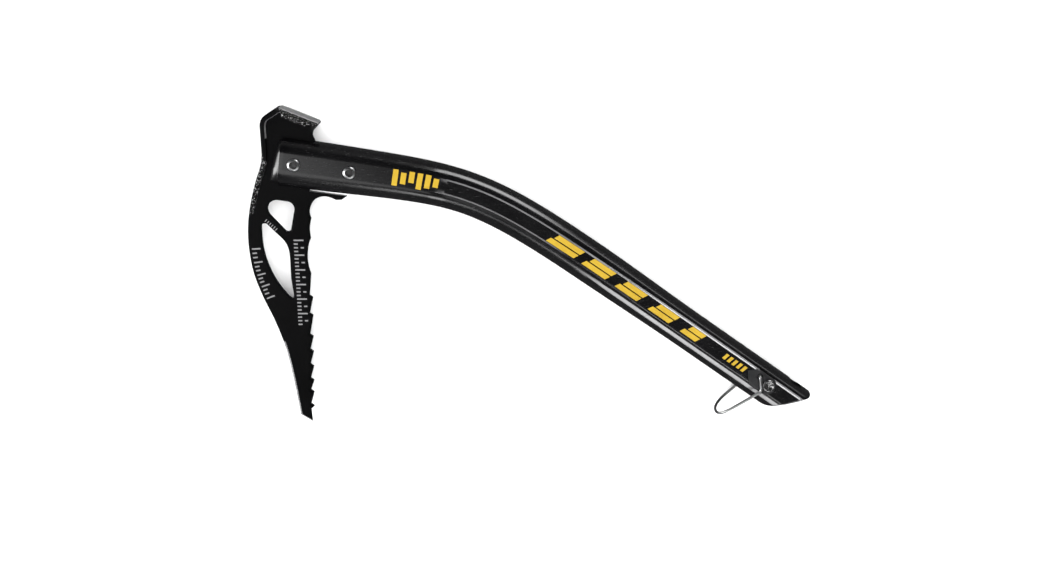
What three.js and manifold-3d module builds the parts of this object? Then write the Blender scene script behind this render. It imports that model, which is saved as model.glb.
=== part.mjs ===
// A compact ice axe: a bent aluminium tube with a forged steel head clamped in its
// slotted mouth and a wire bail that swings on two moulded plates near the foot.
//
// Units are millimetres.  The axe lies on its side: +X runs from the head to the foot,
// +Y from the pick towards the hammer, and +Z out of the side that faces up.
import * as THREE from 'three';
import { mergeVertices } from 'three/addons/utils/BufferGeometryUtils.js';
import Module from 'manifold-3d';

const wasm = await Module();
wasm.setup();

// ---------------------------------------------------------------- driving dimensions
const GAP = 0.3;                       // clearance kept between neighbouring pieces

// Shaft: a straight neck, one long bend and a straight foot, all in the XY plane.
const BEND_START = new THREE.Vector2(-132.5, 90.2);
const BEND_END = new THREE.Vector2(93, -13);
const NECK_SLOPE = THREE.MathUtils.degToRad(-8);
const FOOT_SLOPE = THREE.MathUtils.degToRad(-35.5);
const NECK_LENGTH = 48;                // tube mouth to the start of the bend
const NECK_PULL = 97.7;                // how long the bend keeps the neck's direction
const FOOT_PULL = 156.2;               // how early the bend takes the foot's direction
const FOOT_LENGTH = 143;               // end of the bend to the tip of the tube
const HEAD_HALF_WIDTH = 18.1;
const GRIP_HALF_WIDTH = 15.6;
const FOOT_HALF_WIDTH = 14.5;
const NECK_TAPER = [0, 150];           // stretch over which the tube narrows to the grip
const FOOT_TAPER = [240, 340];         // stretch over which it narrows again to the foot
const HALF_DEPTH = 11.5;               // half the tube's depth along Z
const FLAT = [-0.22, 0.44];            // where the sides are flat, as shares of the half width
const WALL = 1.8;
const CUT_BACK = 25;                   // how far the slanting foot cut runs back on the belly

// Head: one steel plate with a raised rim, a hammer and a toothed pick.
const PLATE_HALF = 2;
const RIM_HALF = 4;
const HAMMER_HALF = 6.5;
const SLOT_HALF = PLATE_HALF + 0.4;
const SPINE_SLOT = 25.5;               // slot length from the mouth, on the hammer side
const BELLY_SLOT = 23.6;               // slot length from the mouth, on the pick side
const SLOT_PLAY = 0.8;                 // room between the plate and the end of each slot
const BORE_PLAY = 1;                   // room between the plate's tang and the tube's wall
const HEEL_GAP = 1.9;                  // slit between the tube and the heel under it
const TANG_END = 64;                   // how far the plate reaches into the tube
const CHEEK_END = 62;
const CHEEK_NOSE = 4;                  // how far a cheek stands out of the mouth
const TOOTH_TIPS = [-7.3, -21.4, -38.2, -50.3, -62.2, -73.7, -83.3, -94.7];
const TOOTH_STEP = 1.9;                // height of the step above each tooth tip
const TOOTH_DEPTH = 2.5;               // how far a tip stands out of the line of the roots

// Fasteners: socket screws that thread into sleeve nuts from the other side.
const HEAD_SCREWS = [11, 51.4];        // distances from the mouth
const HEAD_SCREW_OFFSET = 0.8;         // towards the spine
const SCREW_HEAD = 4.7;                // head radius
const SCREW_HEAD_HEIGHT = 1.8;
const SCREW_SHANK = 2;
const SLEEVE = 3.2;                    // outer radius of the sleeve nut
const SOCKET = 2.3;                    // corner radius of the hexagon socket
const SOCKET_DEPTH = 1.2;

// Foot fittings, placed by distance past the end of the bend and offset to the spine.
const FOOT_SCREW = [107, 3];
const BAIL_PIVOT = [97.2, 5];
const BAIL_PLATE = 2.4;                // thickness of each moulded bail plate
const BAIL_PLATE_HALF = 7.2;
const DIMPLE = 2;                      // radius of the dimple round the wire's hole
const DIMPLE_DEPTH = 1;
const FOOT_PLUG = [84, 115.5];         // stretch that the inner plug fills
const CORD_HOLE = 127;                 // centre of the oblong hole in the spine wall
const CORD_HOLE_LENGTH = 12;
const CORD_HOLE_HALF_WIDTH = 4.6;
const WIRE = 1;                        // wire radius
const LOOP_END = new THREE.Vector2(144.7, -98.5);
const LOOP_HALF = 12.5;                // half the length of the loop's crossbar
const FRONT_KNEE = new THREE.Vector2(176.4, -77);
const REAR_KNEE = new THREE.Vector2(174.8, -72);

const THROUGH = 20;                    // half the length of a cutter that passes right through

const steel = { color: 0x24262a, roughness: 0.55, metalness: 0.7 };
const anodised = { color: 0x141517, roughness: 0.3, metalness: 0.6 };
const moulded = { color: 0x2b2d30, roughness: 0.7, metalness: 0 };
const bright = { color: 0xb9bcc0, roughness: 0.28, metalness: 1 };

// ---------------------------------------------------------------- helpers
function solid(geometry) {
  const bare = geometry.clone();
  bare.deleteAttribute('normal');
  bare.deleteAttribute('uv');
  const merged = mergeVertices(bare, 1e-4);
  return new wasm.Manifold(new wasm.Mesh({
    numProp: 3,
    vertProperties: new Float32Array(merged.attributes.position.array),
    triVerts: new Uint32Array(merged.index.array),
  }));
}

function piece(name, body, look) {
  const { vertProperties, triVerts } = body.getMesh();
  const geometry = new THREE.BufferGeometry();
  geometry.setAttribute('position', new THREE.BufferAttribute(vertProperties, 3));
  geometry.setIndex(new THREE.BufferAttribute(triVerts, 1));
  geometry.computeVertexNormals();
  const mesh = new THREE.Mesh(geometry, new THREE.MeshStandardMaterial(look));
  mesh.name = name;
  return mesh;
}

// A slab with the given outline, from one height to another.
function slab(shape, bottom, top, curveSegments = 8) {
  const geometry = new THREE.ExtrudeGeometry(shape, {
    depth: top - bottom, bevelEnabled: false, curveSegments,
  });
  return solid(geometry.translate(0, 0, bottom));
}

// A round pin standing along Z at a point of the XY plane.
function pin(at, radius, bottom, top, sides = 20, topRadius = radius) {
  const geometry = new THREE.CylinderGeometry(topRadius, radius, top - bottom, sides);
  geometry.rotateX(Math.PI / 2);
  return solid(geometry.translate(at.x, at.y, (bottom + top) / 2));
}

function polygon(points) {
  return new THREE.Shape(points.map(([x, y]) => new THREE.Vector2(x, y)));
}

// ---------------------------------------------------------------- the shaft's line
const LEAD = 30;                       // the line runs this far past both ends of the tube

function direction(slope) {
  return new THREE.Vector2(Math.cos(slope), Math.sin(slope));
}

function shaftLine() {
  const neck = direction(NECK_SLOPE);
  const foot = direction(FOOT_SLOPE);
  const start = BEND_START.clone().addScaledVector(neck, -NECK_LENGTH - LEAD);
  const end = BEND_END.clone().addScaledVector(foot, FOOT_LENGTH + LEAD);
  const path = new THREE.CurvePath();
  path.add(new THREE.LineCurve(start, BEND_START));
  path.add(new THREE.CubicBezierCurve(
    BEND_START,
    BEND_START.clone().addScaledVector(neck, NECK_PULL),
    BEND_END.clone().addScaledVector(foot, -FOOT_PULL),
    BEND_END,
  ));
  path.add(new THREE.LineCurve(BEND_END, end));
  return path;
}

const line = shaftLine();
const lineLength = line.getLength();
const TUBE_LENGTH = lineLength - 2 * LEAD;
const BEND_END_AT = TUBE_LENGTH - FOOT_LENGTH;

// The point at a distance from the mouth and an offset towards the spine.
function onShaft(distance, offset = 0) {
  const share = (distance + LEAD) / lineLength;
  const ahead = line.getTangent(share);
  const point = line.getPoint(share);
  return new THREE.Vector2(point.x - ahead.y * offset, point.y + ahead.x * offset);
}

function onFoot([distance, offset]) {
  return onShaft(BEND_END_AT + distance, offset);
}

const HEAD_SCREW_SPOTS = HEAD_SCREWS.map((distance) => onShaft(distance, HEAD_SCREW_OFFSET));

function halfWidthAt(distance) {
  const { smoothstep, lerp } = THREE.MathUtils;
  const grip = lerp(HEAD_HALF_WIDTH, GRIP_HALF_WIDTH, smoothstep(distance, ...NECK_TAPER));
  return lerp(grip, FOOT_HALF_WIDTH, smoothstep(distance, ...FOOT_TAPER));
}

// The tube's section with unit half width and half depth: flat sides, rounded edges.
function unitSection() {
  const [belly, spine] = FLAT;
  const shape = new THREE.Shape();
  shape.moveTo(spine, -1);
  shape.absellipse(spine, 0, 1 - spine, 1, -Math.PI / 2, Math.PI / 2);
  shape.absellipse(belly, 0, 1 + belly, 1, Math.PI / 2, 3 * Math.PI / 2);
  shape.closePath();
  return shape;
}

// A bar of the tube's section, smaller by `inset` all round, that follows the shaft.
// `noseLength` rounds its start over by that length, from a blunt end of `BLUNT` its depth.
const BLUNT = 0.55;

function bentBar(from, to, inset, steps, noseLength = 0) {
  const geometry = new THREE.ExtrudeGeometry(unitSection(), {
    depth: to - from, steps, bevelEnabled: false, curveSegments: 6,
  });
  const vertex = new THREE.Vector3();
  const { position } = geometry.attributes;
  for (let i = 0; i < position.count; i += 1) {
    vertex.fromBufferAttribute(position, i);
    const distance = from + vertex.z;
    const rise = noseLength > 0 ? Math.min(1, vertex.z / noseLength) : 1;
    const swell = BLUNT + (1 - BLUNT) * Math.sqrt(1 - (1 - rise) ** 2);
    const across = vertex.x * (halfWidthAt(Math.max(distance, 0)) - inset);
    const point = onShaft(distance, across);
    position.setXYZ(i, point.x, point.y, vertex.y * (HALF_DEPTH - inset) * swell);
  }
  return solid(geometry);
}

// ---------------------------------------------------------------- shaft tube
// The block below the slanting cut that ends the tube.
function footCut() {
  const tip = onShaft(TUBE_LENGTH, FOOT_HALF_WIDTH);
  const heel = onShaft(TUBE_LENGTH - CUT_BACK, -FOOT_HALF_WIDTH);
  const slope = Math.atan2(tip.y - heel.y, tip.x - heel.x);
  const size = 8 * FOOT_HALF_WIDTH;
  const geometry = new THREE.BoxGeometry(size, size, size);
  geometry.translate(0, -size / 2, 0);
  geometry.rotateZ(slope);
  return solid(geometry.translate((tip.x + heel.x) / 2, (tip.y + heel.y) / 2, 0));
}

// A slot through one edge of the tube, from before the mouth to `length`.
function mouthSlot(length, side) {
  const before = -LEAD / 2;
  const inside = side * (HALF_DEPTH / 2);
  const outside = side * (HEAD_HALF_WIDTH + HALF_DEPTH);
  const corners = [
    onShaft(before, inside), onShaft(length, inside),
    onShaft(length, outside), onShaft(before, outside),
  ];
  return slab(new THREE.Shape(side > 0 ? corners : corners.reverse()), -SLOT_HALF, SLOT_HALF);
}

// The oblong hole through the spine wall near the tip, cut square to the axis.
function cordHole() {
  const depth = HALF_DEPTH;
  const straight = CORD_HOLE_LENGTH / 2 - CORD_HOLE_HALF_WIDTH;
  const shape = new THREE.Shape();
  shape.moveTo(straight, -CORD_HOLE_HALF_WIDTH);
  shape.absarc(straight, 0, CORD_HOLE_HALF_WIDTH, -Math.PI / 2, Math.PI / 2);
  shape.absarc(-straight, 0, CORD_HOLE_HALF_WIDTH, Math.PI / 2, 3 * Math.PI / 2);
  shape.closePath();
  const geometry = new THREE.ExtrudeGeometry(shape, {
    depth, bevelEnabled: false, curveSegments: 10,
  });
  geometry.rotateX(-Math.PI / 2);
  geometry.rotateZ(FOOT_SLOPE);
  const at = onFoot([CORD_HOLE, FOOT_HALF_WIDTH - depth / 2]);
  return solid(geometry.translate(at.x, at.y, 0));
}

function shaftTube() {
  let tube = bentBar(0, TUBE_LENGTH, 0, 26);
  tube = tube.subtract(bentBar(-LEAD / 2, TUBE_LENGTH + LEAD / 2, WALL, 28));
  tube = tube.subtract(mouthSlot(SPINE_SLOT, 1));
  tube = tube.subtract(mouthSlot(BELLY_SLOT, -1));
  for (const spot of HEAD_SCREW_SPOTS) {
    tube = tube.subtract(pin(spot, SLEEVE + GAP, -THROUGH, THROUGH));
  }
  tube = tube.subtract(pin(onFoot(FOOT_SCREW), SLEEVE + GAP, -THROUGH, THROUGH));
  tube = tube.subtract(pin(onFoot(BAIL_PIVOT), WIRE + GAP, -THROUGH, THROUGH, 12));
  tube = tube.subtract(cordHole());
  return tube.subtract(footCut());
}

// ---------------------------------------------------------------- head
// The pick's inner edge below the windows, from the point up: each tooth is a short step
// out to its tip, then a long ramp to the root above the next one.
function toothedEdge() {
  const rootLine = (y) => -164 + (y + 5) * 0.032;
  const points = TOOTH_TIPS.flatMap((tip) => [
    [rootLine(tip + TOOTH_STEP), tip + TOOTH_STEP],
    [rootLine(tip) + TOOTH_DEPTH, tip],
  ]);
  return points.reverse();
}

// The whole plate seen from its side, with the tang that sits in the tube.
function headOutline() {
  const shape = new THREE.Shape();
  const inBore = (distance) => halfWidthAt(distance) - WALL - BORE_PLAY;
  const spineEnd = SPINE_SLOT - SLOT_PLAY;
  const bellyEnd = BELLY_SLOT - SLOT_PLAY;
  const tangTop = onShaft(TANG_END, inBore(TANG_END));
  const tangBottom = onShaft(TANG_END, -inBore(TANG_END));
  const slotTop = onShaft(spineEnd, inBore(spineEnd));
  const slotBottom = onShaft(bellyEnd, -inBore(bellyEnd));
  const slitEnd = onShaft(bellyEnd, -halfWidthAt(bellyEnd) - HEEL_GAP);
  shape.moveTo(tangTop.x, tangTop.y);
  shape.lineTo(slotTop.x, slotTop.y);
  shape.lineTo(-154.9, 113);                                   // waist beside the hammer
  shape.quadraticCurveTo(-157.5, 117.5, -153.6, 121);
  shape.lineTo(-150.3, 124.6);                                 // hammer corner
  shape.lineTo(-151.2, 126);
  shape.lineTo(-178, 136.8);                                   // striking face
  shape.lineTo(-180.4, 136.4);
  shape.lineTo(-190.4, 130);
  shape.quadraticCurveTo(-193.3, 127.6, -193.4, 122);
  shape.lineTo(-193.2, 102);
  shape.quadraticCurveTo(-193.9, 94, -197.6, 86);              // back of the pick
  shape.splineThru([[-202, 72], [-205.9, 55], [-207.2, 36], [-205, 14], [-199, -5.5],
    [-190.5, -26], [-183.6, -48], [-178.4, -77], [-175.2, -101.3]].map(
    ([x, y]) => new THREE.Vector2(x, y)));
  shape.lineTo(-166.4, -107.2);                                // the point
  shape.lineTo(-167, -97);
  toothedEdge().forEach(([x, y]) => shape.lineTo(x, y));
  shape.lineTo(-162.2, 11.2);
  shape.quadraticCurveTo(-164.8, 19, -164.2, 25.5);            // finger scallops
  shape.quadraticCurveTo(-163.6, 34, -161, 38.5);
  shape.quadraticCurveTo(-162.6, 46.2, -160, 53.8);
  shape.quadraticCurveTo(-162, 58, -160.2, 62.5);
  shape.quadraticCurveTo(-157, 71.4, -148.2, 70.7);            // throat under the shaft
  shape.quadraticCurveTo(-144.5, 70.2, -140.8, 68);            // heel
  shape.lineTo(-136.8, 68.1);
  shape.lineTo(-132.9, 70.8);
  shape.lineTo(slitEnd.x, slitEnd.y);
  shape.lineTo(slotBottom.x, slotBottom.y);
  shape.lineTo(tangBottom.x, tangBottom.y);
  shape.closePath();
  return shape;
}

// The upper window: three round corners joined by straight edges.
function upperWindow() {
  const hole = new THREE.Shape();
  hole.absarc(-184.6, 61, 7, THREE.MathUtils.degToRad(225), THREE.MathUtils.degToRad(85), true);
  hole.absarc(-177.5, 61.3, 5.7, THREE.MathUtils.degToRad(85), THREE.MathUtils.degToRad(-11), true);
  hole.absarc(-177.6, 46.6, 2.7, THREE.MathUtils.degToRad(-11), THREE.MathUtils.degToRad(-135), true);
  hole.closePath();
  return hole;
}

// The lower window: straight along the strut and the teeth, bowed along the back.
function lowerWindow() {
  const hole = new THREE.Shape();
  hole.moveTo(-197, 42);
  hole.absarc(-194.3, 47.8, 2.6, Math.PI, THREE.MathUtils.degToRad(44), true);
  hole.lineTo(-181.5, 38.3);
  hole.quadraticCurveTo(-177.2, 33.6, -177, 25);
  hole.lineTo(-176.9, 8);
  hole.lineTo(-175.5, -5);
  hole.quadraticCurveTo(-175.5, -9.6, -179, -6.6);
  hole.bezierCurveTo(-187.5, 3, -197.2, 19, -197, 42);
  return hole;
}

// Where the rim stands: outside this line, along the hammer, the nose and the back.
function rimBand() {
  return polygon([[-140, 140], [-150, 119.5], [-179, 131.2], [-189, 125], [-189.2, 104],
    [-193.4, 88.5], [-199, 74], [-204.6, 61], [-215, 61], [-215, 140]]);
}

function hammerBand() {
  return polygon([[-140, 140], [-148, 119.8], [-178.5, 130.8], [-184.5, 135], [-184, 145]]);
}

function pickHead() {
  const outline = headOutline();
  const rim = slab(outline, -RIM_HALF, RIM_HALF).intersect(slab(rimBand(), -THROUGH, THROUGH));
  const hammer = slab(outline, -HAMMER_HALF, HAMMER_HALF).intersect(slab(hammerBand(), -THROUGH, THROUGH));
  let head = slab(outline, -PLATE_HALF, PLATE_HALF).add(rim).add(hammer);
  head = head.subtract(slab(upperWindow(), -THROUGH, THROUGH));
  head = head.subtract(slab(lowerWindow(), -THROUGH, THROUGH));
  for (const spot of HEAD_SCREW_SPOTS) {
    head = head.subtract(pin(spot, SLEEVE + GAP, -THROUGH, THROUGH));
  }
  return head;
}

// One moulded half of the filler that closes the mouth beside the plate.
function frontCheek() {
  const upper = polygon([[-260, -40], [60, -40], [60, 160], [-260, 160]]);
  let cheek = bentBar(-CHEEK_NOSE, CHEEK_END, WALL + GAP, 14, CHEEK_NOSE * 1.5);
  cheek = cheek.intersect(slab(upper, PLATE_HALF + GAP, HALF_DEPTH));
  for (const spot of HEAD_SCREW_SPOTS) {
    cheek = cheek.subtract(pin(spot, SLEEVE + GAP, -THROUGH, THROUGH));
  }
  return cheek;
}

// ---------------------------------------------------------------- fasteners
// A turned piece standing along Z: its profile is a list of [radius, height].
function turning(at, profile, sides) {
  const points = profile.map(([radius, height]) => new THREE.Vector2(radius, height));
  const geometry = new THREE.LatheGeometry(points, sides);
  geometry.rotateX(Math.PI / 2);
  return solid(geometry.translate(at.x, at.y, 0));
}

// A button-head socket screw whose head seats at `seat`, with its shank down to `end`.
function socketScrew(at, seat, end) {
  const top = seat + SCREW_HEAD_HEIGHT;
  const screw = turning(at, [
    [0, end], [SCREW_SHANK, end], [SCREW_SHANK, seat], [SCREW_HEAD, seat],
    [SCREW_HEAD, seat + 0.6], [SCREW_HEAD - 0.9, top], [0, top],
  ], 24);
  return screw.subtract(pin(at, SOCKET, top - SOCKET_DEPTH, top + 1, 6));
}

// A sleeve nut: a round head on the far side and a bored barrel through to the screw.
function sleeveNut(at, seat, end) {
  const bottom = seat - SCREW_HEAD_HEIGHT;
  const bore = SCREW_SHANK + GAP;
  const nut = turning(at, [
    [0, bottom], [SCREW_HEAD - 0.9, bottom], [SCREW_HEAD, seat - 0.6], [SCREW_HEAD, seat],
    [SLEEVE, seat], [SLEEVE, end], [bore, end], [bore, seat + 0.5], [0, seat + 0.5],
  ], 24);
  return nut.subtract(pin(at, SOCKET, bottom - 1, bottom + SOCKET_DEPTH, 6));
}

const SEAT = HALF_DEPTH + GAP;                    // where a head bears on the tube's side
const PLATE_SEAT = SEAT + BAIL_PLATE + GAP;       // where a head bears on a bail plate
const SHANK_END = 2 - HALF_DEPTH;
const SLEEVE_END = HALF_DEPTH - 0.5;

// A turned screw with a dished face for the foot.
function footScrew() {
  const seat = PLATE_SEAT;
  return turning(onFoot(FOOT_SCREW), [
    [0, SHANK_END], [SCREW_SHANK, SHANK_END], [SCREW_SHANK, seat], [SCREW_HEAD, seat],
    [SCREW_HEAD, seat + 1.1], [SCREW_HEAD - 0.6, seat + 1.6], [SCREW_HEAD - 1.3, seat + 1.5],
    [0, seat + 0.7],
  ], 28);
}

// ---------------------------------------------------------------- foot fittings
// The outline of a bail plate: round about the screw, blunt-pointed towards the head.
function bailPlateOutline() {
  const middle = 1.8;
  const half = BAIL_PLATE_HALF;
  const end = FOOT_SCREW[0] - 0.5;
  const flank = (distance, offset) => onFoot([distance, middle + offset]);
  const points = [
    flank(end, half), flank(95.5, half), flank(92, 5.8), flank(87.2, 1.4), flank(95, -half),
  ];
  const turns = 10;
  for (let i = 0; i <= turns; i += 1) {
    const angle = -Math.PI / 2 + (Math.PI * i) / turns;
    points.push(flank(end + half * Math.cos(angle), half * Math.sin(angle)));
  }
  return new THREE.Shape(points.slice(0, -1));
}

// A bail plate with its screw hole and the wire's hole, which opens into a shallow dimple.
function bailPlate() {
  const top = SEAT + BAIL_PLATE;
  const pivot = onFoot(BAIL_PIVOT);
  let plate = slab(bailPlateOutline(), SEAT, top);
  plate = plate.subtract(pin(onFoot(FOOT_SCREW), SLEEVE + GAP, 0, THROUGH));
  plate = plate.subtract(pin(pivot, WIRE + GAP, 0, THROUGH, 12));
  return plate.subtract(pin(pivot, DIMPLE, top - DIMPLE_DEPTH, THROUGH, 16));
}

// The block inside the tube that keeps its walls apart under the foot screw.
function footPlug() {
  const [from, to] = FOOT_PLUG;
  let plug = bentBar(BEND_END_AT + from, BEND_END_AT + to, WALL + GAP, 2);
  plug = plug.subtract(pin(onFoot(FOOT_SCREW), SLEEVE + GAP, -THROUGH, THROUGH));
  return plug.subtract(pin(onFoot(BAIL_PIVOT), WIRE + GAP, -THROUGH, THROUGH, 12));
}

// The bail: one wire from the front pivot hole, down a knee that clears the foot screw,
// out to the loop's crossbar, through to the rear side and back to the rear pivot hole.
function wireBail() {
  const pivot = onFoot(BAIL_PIVOT);
  const side = SEAT + BAIL_PLATE + 2 * GAP + WIRE;
  const inner = HALF_DEPTH - 4;
  const corners = [
    [pivot.x, pivot.y, inner],
    [pivot.x, pivot.y, side],
    [FRONT_KNEE.x, FRONT_KNEE.y, side],
    [LOOP_END.x, LOOP_END.y, LOOP_HALF],
    [LOOP_END.x, LOOP_END.y, -LOOP_HALF],
    [REAR_KNEE.x, REAR_KNEE.y, -side],
    [pivot.x, pivot.y, -side],
    [pivot.x, pivot.y, -inner],
  ].map(([x, y, z]) => new THREE.Vector3(x, y, z));
  const bendRadii = [0, 2, 2.4, 6, 6, 2, 2, 0];
  const path = new THREE.CurvePath();
  let last = corners[0];
  for (let i = 1; i < corners.length; i += 1) {
    const corner = corners[i];
    const next = corners[i + 1] ?? corner;
    const into = corner.clone().sub(corners[i - 1]).normalize();
    const out = next.clone().sub(corner).normalize();
    const enter = corner.clone().addScaledVector(into, -bendRadii[i]);
    path.add(new THREE.LineCurve3(last, enter));
    last = corner.clone().addScaledVector(out, bendRadii[i]);
    if (bendRadii[i] > 0) {
      path.add(new THREE.QuadraticBezierCurve3(enter, corner, last));
    }
  }
  const section = new THREE.Shape();
  section.absarc(0, 0, WIRE, 0, 2 * Math.PI);
  return solid(new THREE.ExtrudeGeometry(section, {
    extrudePath: path, steps: 110, curveSegments: 4, bevelEnabled: false,
  }));
}

// ---------------------------------------------------------------- assembly
const axe = new THREE.Group();
axe.add(piece('shaft_tube', shaftTube(), anodised));
axe.add(piece('pick_head', pickHead(), steel));

const cheek = frontCheek();
axe.add(piece('head_cheek_front', cheek, moulded));
axe.add(piece('head_cheek_rear', cheek.mirror([0, 0, 1]), moulded));

HEAD_SCREW_SPOTS.forEach((at, i) => {
  const place = ['fore', 'aft'][i];
  axe.add(piece(`head_screw_${place}`, socketScrew(at, SEAT, SHANK_END), bright));
  axe.add(piece(`head_nut_${place}`, sleeveNut(at, -SEAT, SLEEVE_END), bright));
});

const plate = bailPlate();
axe.add(piece('bail_plate_front', plate, moulded));
axe.add(piece('bail_plate_rear', plate.mirror([0, 0, 1]), moulded));
axe.add(piece('foot_plug', footPlug(), moulded));
axe.add(piece('foot_screw', footScrew(), bright));
axe.add(piece('foot_nut', sleeveNut(onFoot(FOOT_SCREW), -PLATE_SEAT, SLEEVE_END), bright));
axe.add(piece('wire_bail', wireBail(), bright));

// The origin is under the middle of the axe, on the surface that it lies on.
const box = new THREE.Box3().setFromObject(axe);
axe.position.set(-(box.min.x + box.max.x) / 2, -(box.min.y + box.max.y) / 2, -box.min.z);

const model = new THREE.Group();
model.add(axe);
export default model;
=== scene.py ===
"""The looks of a compact ice axe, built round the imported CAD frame.

Shapes are worked out in millimetres in the axe's own drawing plane: +X runs from the head
to the foot, +Y from the pick to the hammer, and z is 0 in the middle of the axe.  `place`
turns such points into the frame's metres.
"""

import math

import bmesh
import bpy
import numpy as np
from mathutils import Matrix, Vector
from mathutils.geometry import delaunay_2d_cdt


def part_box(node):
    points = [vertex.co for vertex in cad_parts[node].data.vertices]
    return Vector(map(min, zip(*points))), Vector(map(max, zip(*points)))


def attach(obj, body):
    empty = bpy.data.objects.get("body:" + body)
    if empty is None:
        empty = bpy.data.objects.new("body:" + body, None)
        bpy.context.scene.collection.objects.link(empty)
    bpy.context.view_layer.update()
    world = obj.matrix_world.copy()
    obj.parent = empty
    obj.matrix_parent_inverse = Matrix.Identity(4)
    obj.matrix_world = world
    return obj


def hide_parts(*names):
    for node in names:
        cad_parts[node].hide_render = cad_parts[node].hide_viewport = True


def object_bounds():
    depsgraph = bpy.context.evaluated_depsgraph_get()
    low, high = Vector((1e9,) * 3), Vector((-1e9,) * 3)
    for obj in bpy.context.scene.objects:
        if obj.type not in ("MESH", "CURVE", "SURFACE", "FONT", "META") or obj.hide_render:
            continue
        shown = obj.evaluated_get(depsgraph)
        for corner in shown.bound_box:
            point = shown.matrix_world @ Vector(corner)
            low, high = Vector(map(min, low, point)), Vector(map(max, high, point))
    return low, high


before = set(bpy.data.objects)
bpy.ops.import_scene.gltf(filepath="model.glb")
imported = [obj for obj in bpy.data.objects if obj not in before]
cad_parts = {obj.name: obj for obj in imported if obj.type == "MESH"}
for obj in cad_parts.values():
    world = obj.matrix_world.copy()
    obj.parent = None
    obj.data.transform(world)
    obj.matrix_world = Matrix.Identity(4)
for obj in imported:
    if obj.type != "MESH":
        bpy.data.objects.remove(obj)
CAD_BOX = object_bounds()

# -------------------- driving dimensions, mm
GAP = 0.3
BEND_START = np.array([-132.5, 90.2])
BEND_END = np.array([93.0, -13.0])
NECK_SLOPE = math.radians(-8)
FOOT_SLOPE = math.radians(-35.5)
NECK_LENGTH, FOOT_LENGTH = 48.0, 143.0
NECK_PULL, FOOT_PULL = 97.7, 156.2
HEAD_HALF_WIDTH, GRIP_HALF_WIDTH, FOOT_HALF_WIDTH = 18.1, 15.6, 14.5
NECK_TAPER, FOOT_TAPER = (0.0, 150.0), (240.0, 340.0)
HALF_DEPTH = 11.5
WALL = 1.8
CUT_BACK = 25.0
SLOT_HALF = 2.4
SPINE_SLOT, BELLY_SLOT = 25.5, 23.6
SLOT_PLAY, BORE_PLAY, HEEL_GAP = 0.8, 1.0, 1.5
TANG_END, CHEEK_END = 64.0, 62.0
PLATE_HALF, HAMMER_HALF = 2.0, 6.5
TOOTH_TIPS = (-7.3, -21.4, -38.2, -50.3, -62.2, -73.7, -83.3, -94.7)
TOOTH_STEP, TOOTH_DEPTH = 1.9, 2.5
HEAD_SCREWS, HEAD_SCREW_OFFSET = (11.0, 51.4), 0.8
SCREW_HEAD, SCREW_HEAD_HEIGHT, SCREW_SHANK, SLEEVE = 4.7, 1.8, 2.0, 3.2
SOCKET, SOCKET_DEPTH = 2.3, 1.2
FOOT_SCREW, BAIL_PIVOT = (107.0, 3.0), (97.2, 5.0)
BAIL_PLATE, BAIL_PLATE_HALF = 2.4, 7.2
CORD_HOLE, CORD_HOLE_LONG, CORD_HOLE_TALL = 127.0, 6.3, 7.3
WIRE = 1.0
LOOP_END, LOOP_HALF = (144.7, -98.5), 12.5
FRONT_KNEE, REAR_KNEE = (176.4, -77.0), (174.8, -72.0)
SEAT = HALF_DEPTH + GAP
PLATE_SEAT = SEAT + BAIL_PLATE + GAP
SHANK_END = 2 - HALF_DEPTH
SLEEVE_END = HALF_DEPTH - 0.5

# The flat on each side of the tube, and the raised panel that it becomes past the neck.
FLAT_CENTRE = 2.2
NECK_FLAT_HALF, PANEL_HALF = 5.7, 4.8
PANEL_START = (110.0, 124.0)           # stretch over which the panel comes up
PANEL_GROWS = (235.0, 330.0)           # stretch over which its edges get deeper
PANEL_RAISE = (0.5, 1.0)              # how far it stands up, before and after that
PANEL_EDGE_SLOPE = math.radians(38)
FACET = (-8.5, -6.1)                   # offsets between which the belly is flattened
FACET_GROWS = (225.0, 275.0)           # stretch over which that facet opens


def smoothstep(x, a, b):
    t = np.clip((np.asarray(x, float) - a) / (b - a), 0, 1)
    return t * t * (3 - 2 * t)


# -------------------- the shaft's line
def cubic(a, b, c, d, t):
    """Points on a cubic Bezier curve."""
    return (1 - t) ** 3 * a + 3 * (1 - t) ** 2 * t * b + 3 * (1 - t) * t * t * c + t ** 3 * d


def heading(angle):
    return np.array([math.cos(angle), math.sin(angle)])


LEAD, LINE_STEP = 30.0, 0.25           # the line runs on past both ends, in points this close


def shaft_points():
    neck, foot = heading(NECK_SLOPE), heading(FOOT_SLOPE)
    before = BEND_START + np.arange(-NECK_LENGTH - LEAD, 0, LINE_STEP)[:, None] * neck
    t = np.linspace(0, 1, 1400)[:, None]
    a, b = BEND_START + NECK_PULL * neck, BEND_END - FOOT_PULL * foot
    bend = cubic(BEND_START, a, b, BEND_END, t)
    after = BEND_END + np.arange(LINE_STEP, FOOT_LENGTH + LEAD, LINE_STEP)[:, None] * foot
    return np.vstack([before, bend, after])


LINE = shaft_points()
LINE_AT = np.r_[0, np.cumsum(np.linalg.norm(np.diff(LINE, axis=0), axis=1))] - LEAD
LINE_AHEAD = np.gradient(LINE, axis=0)
LINE_AHEAD /= np.linalg.norm(LINE_AHEAD, axis=1)[:, None]
TUBE_LENGTH = float(LINE_AT[-1]) - LEAD + LINE_STEP
BEND_END_AT = TUBE_LENGTH - FOOT_LENGTH


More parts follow.
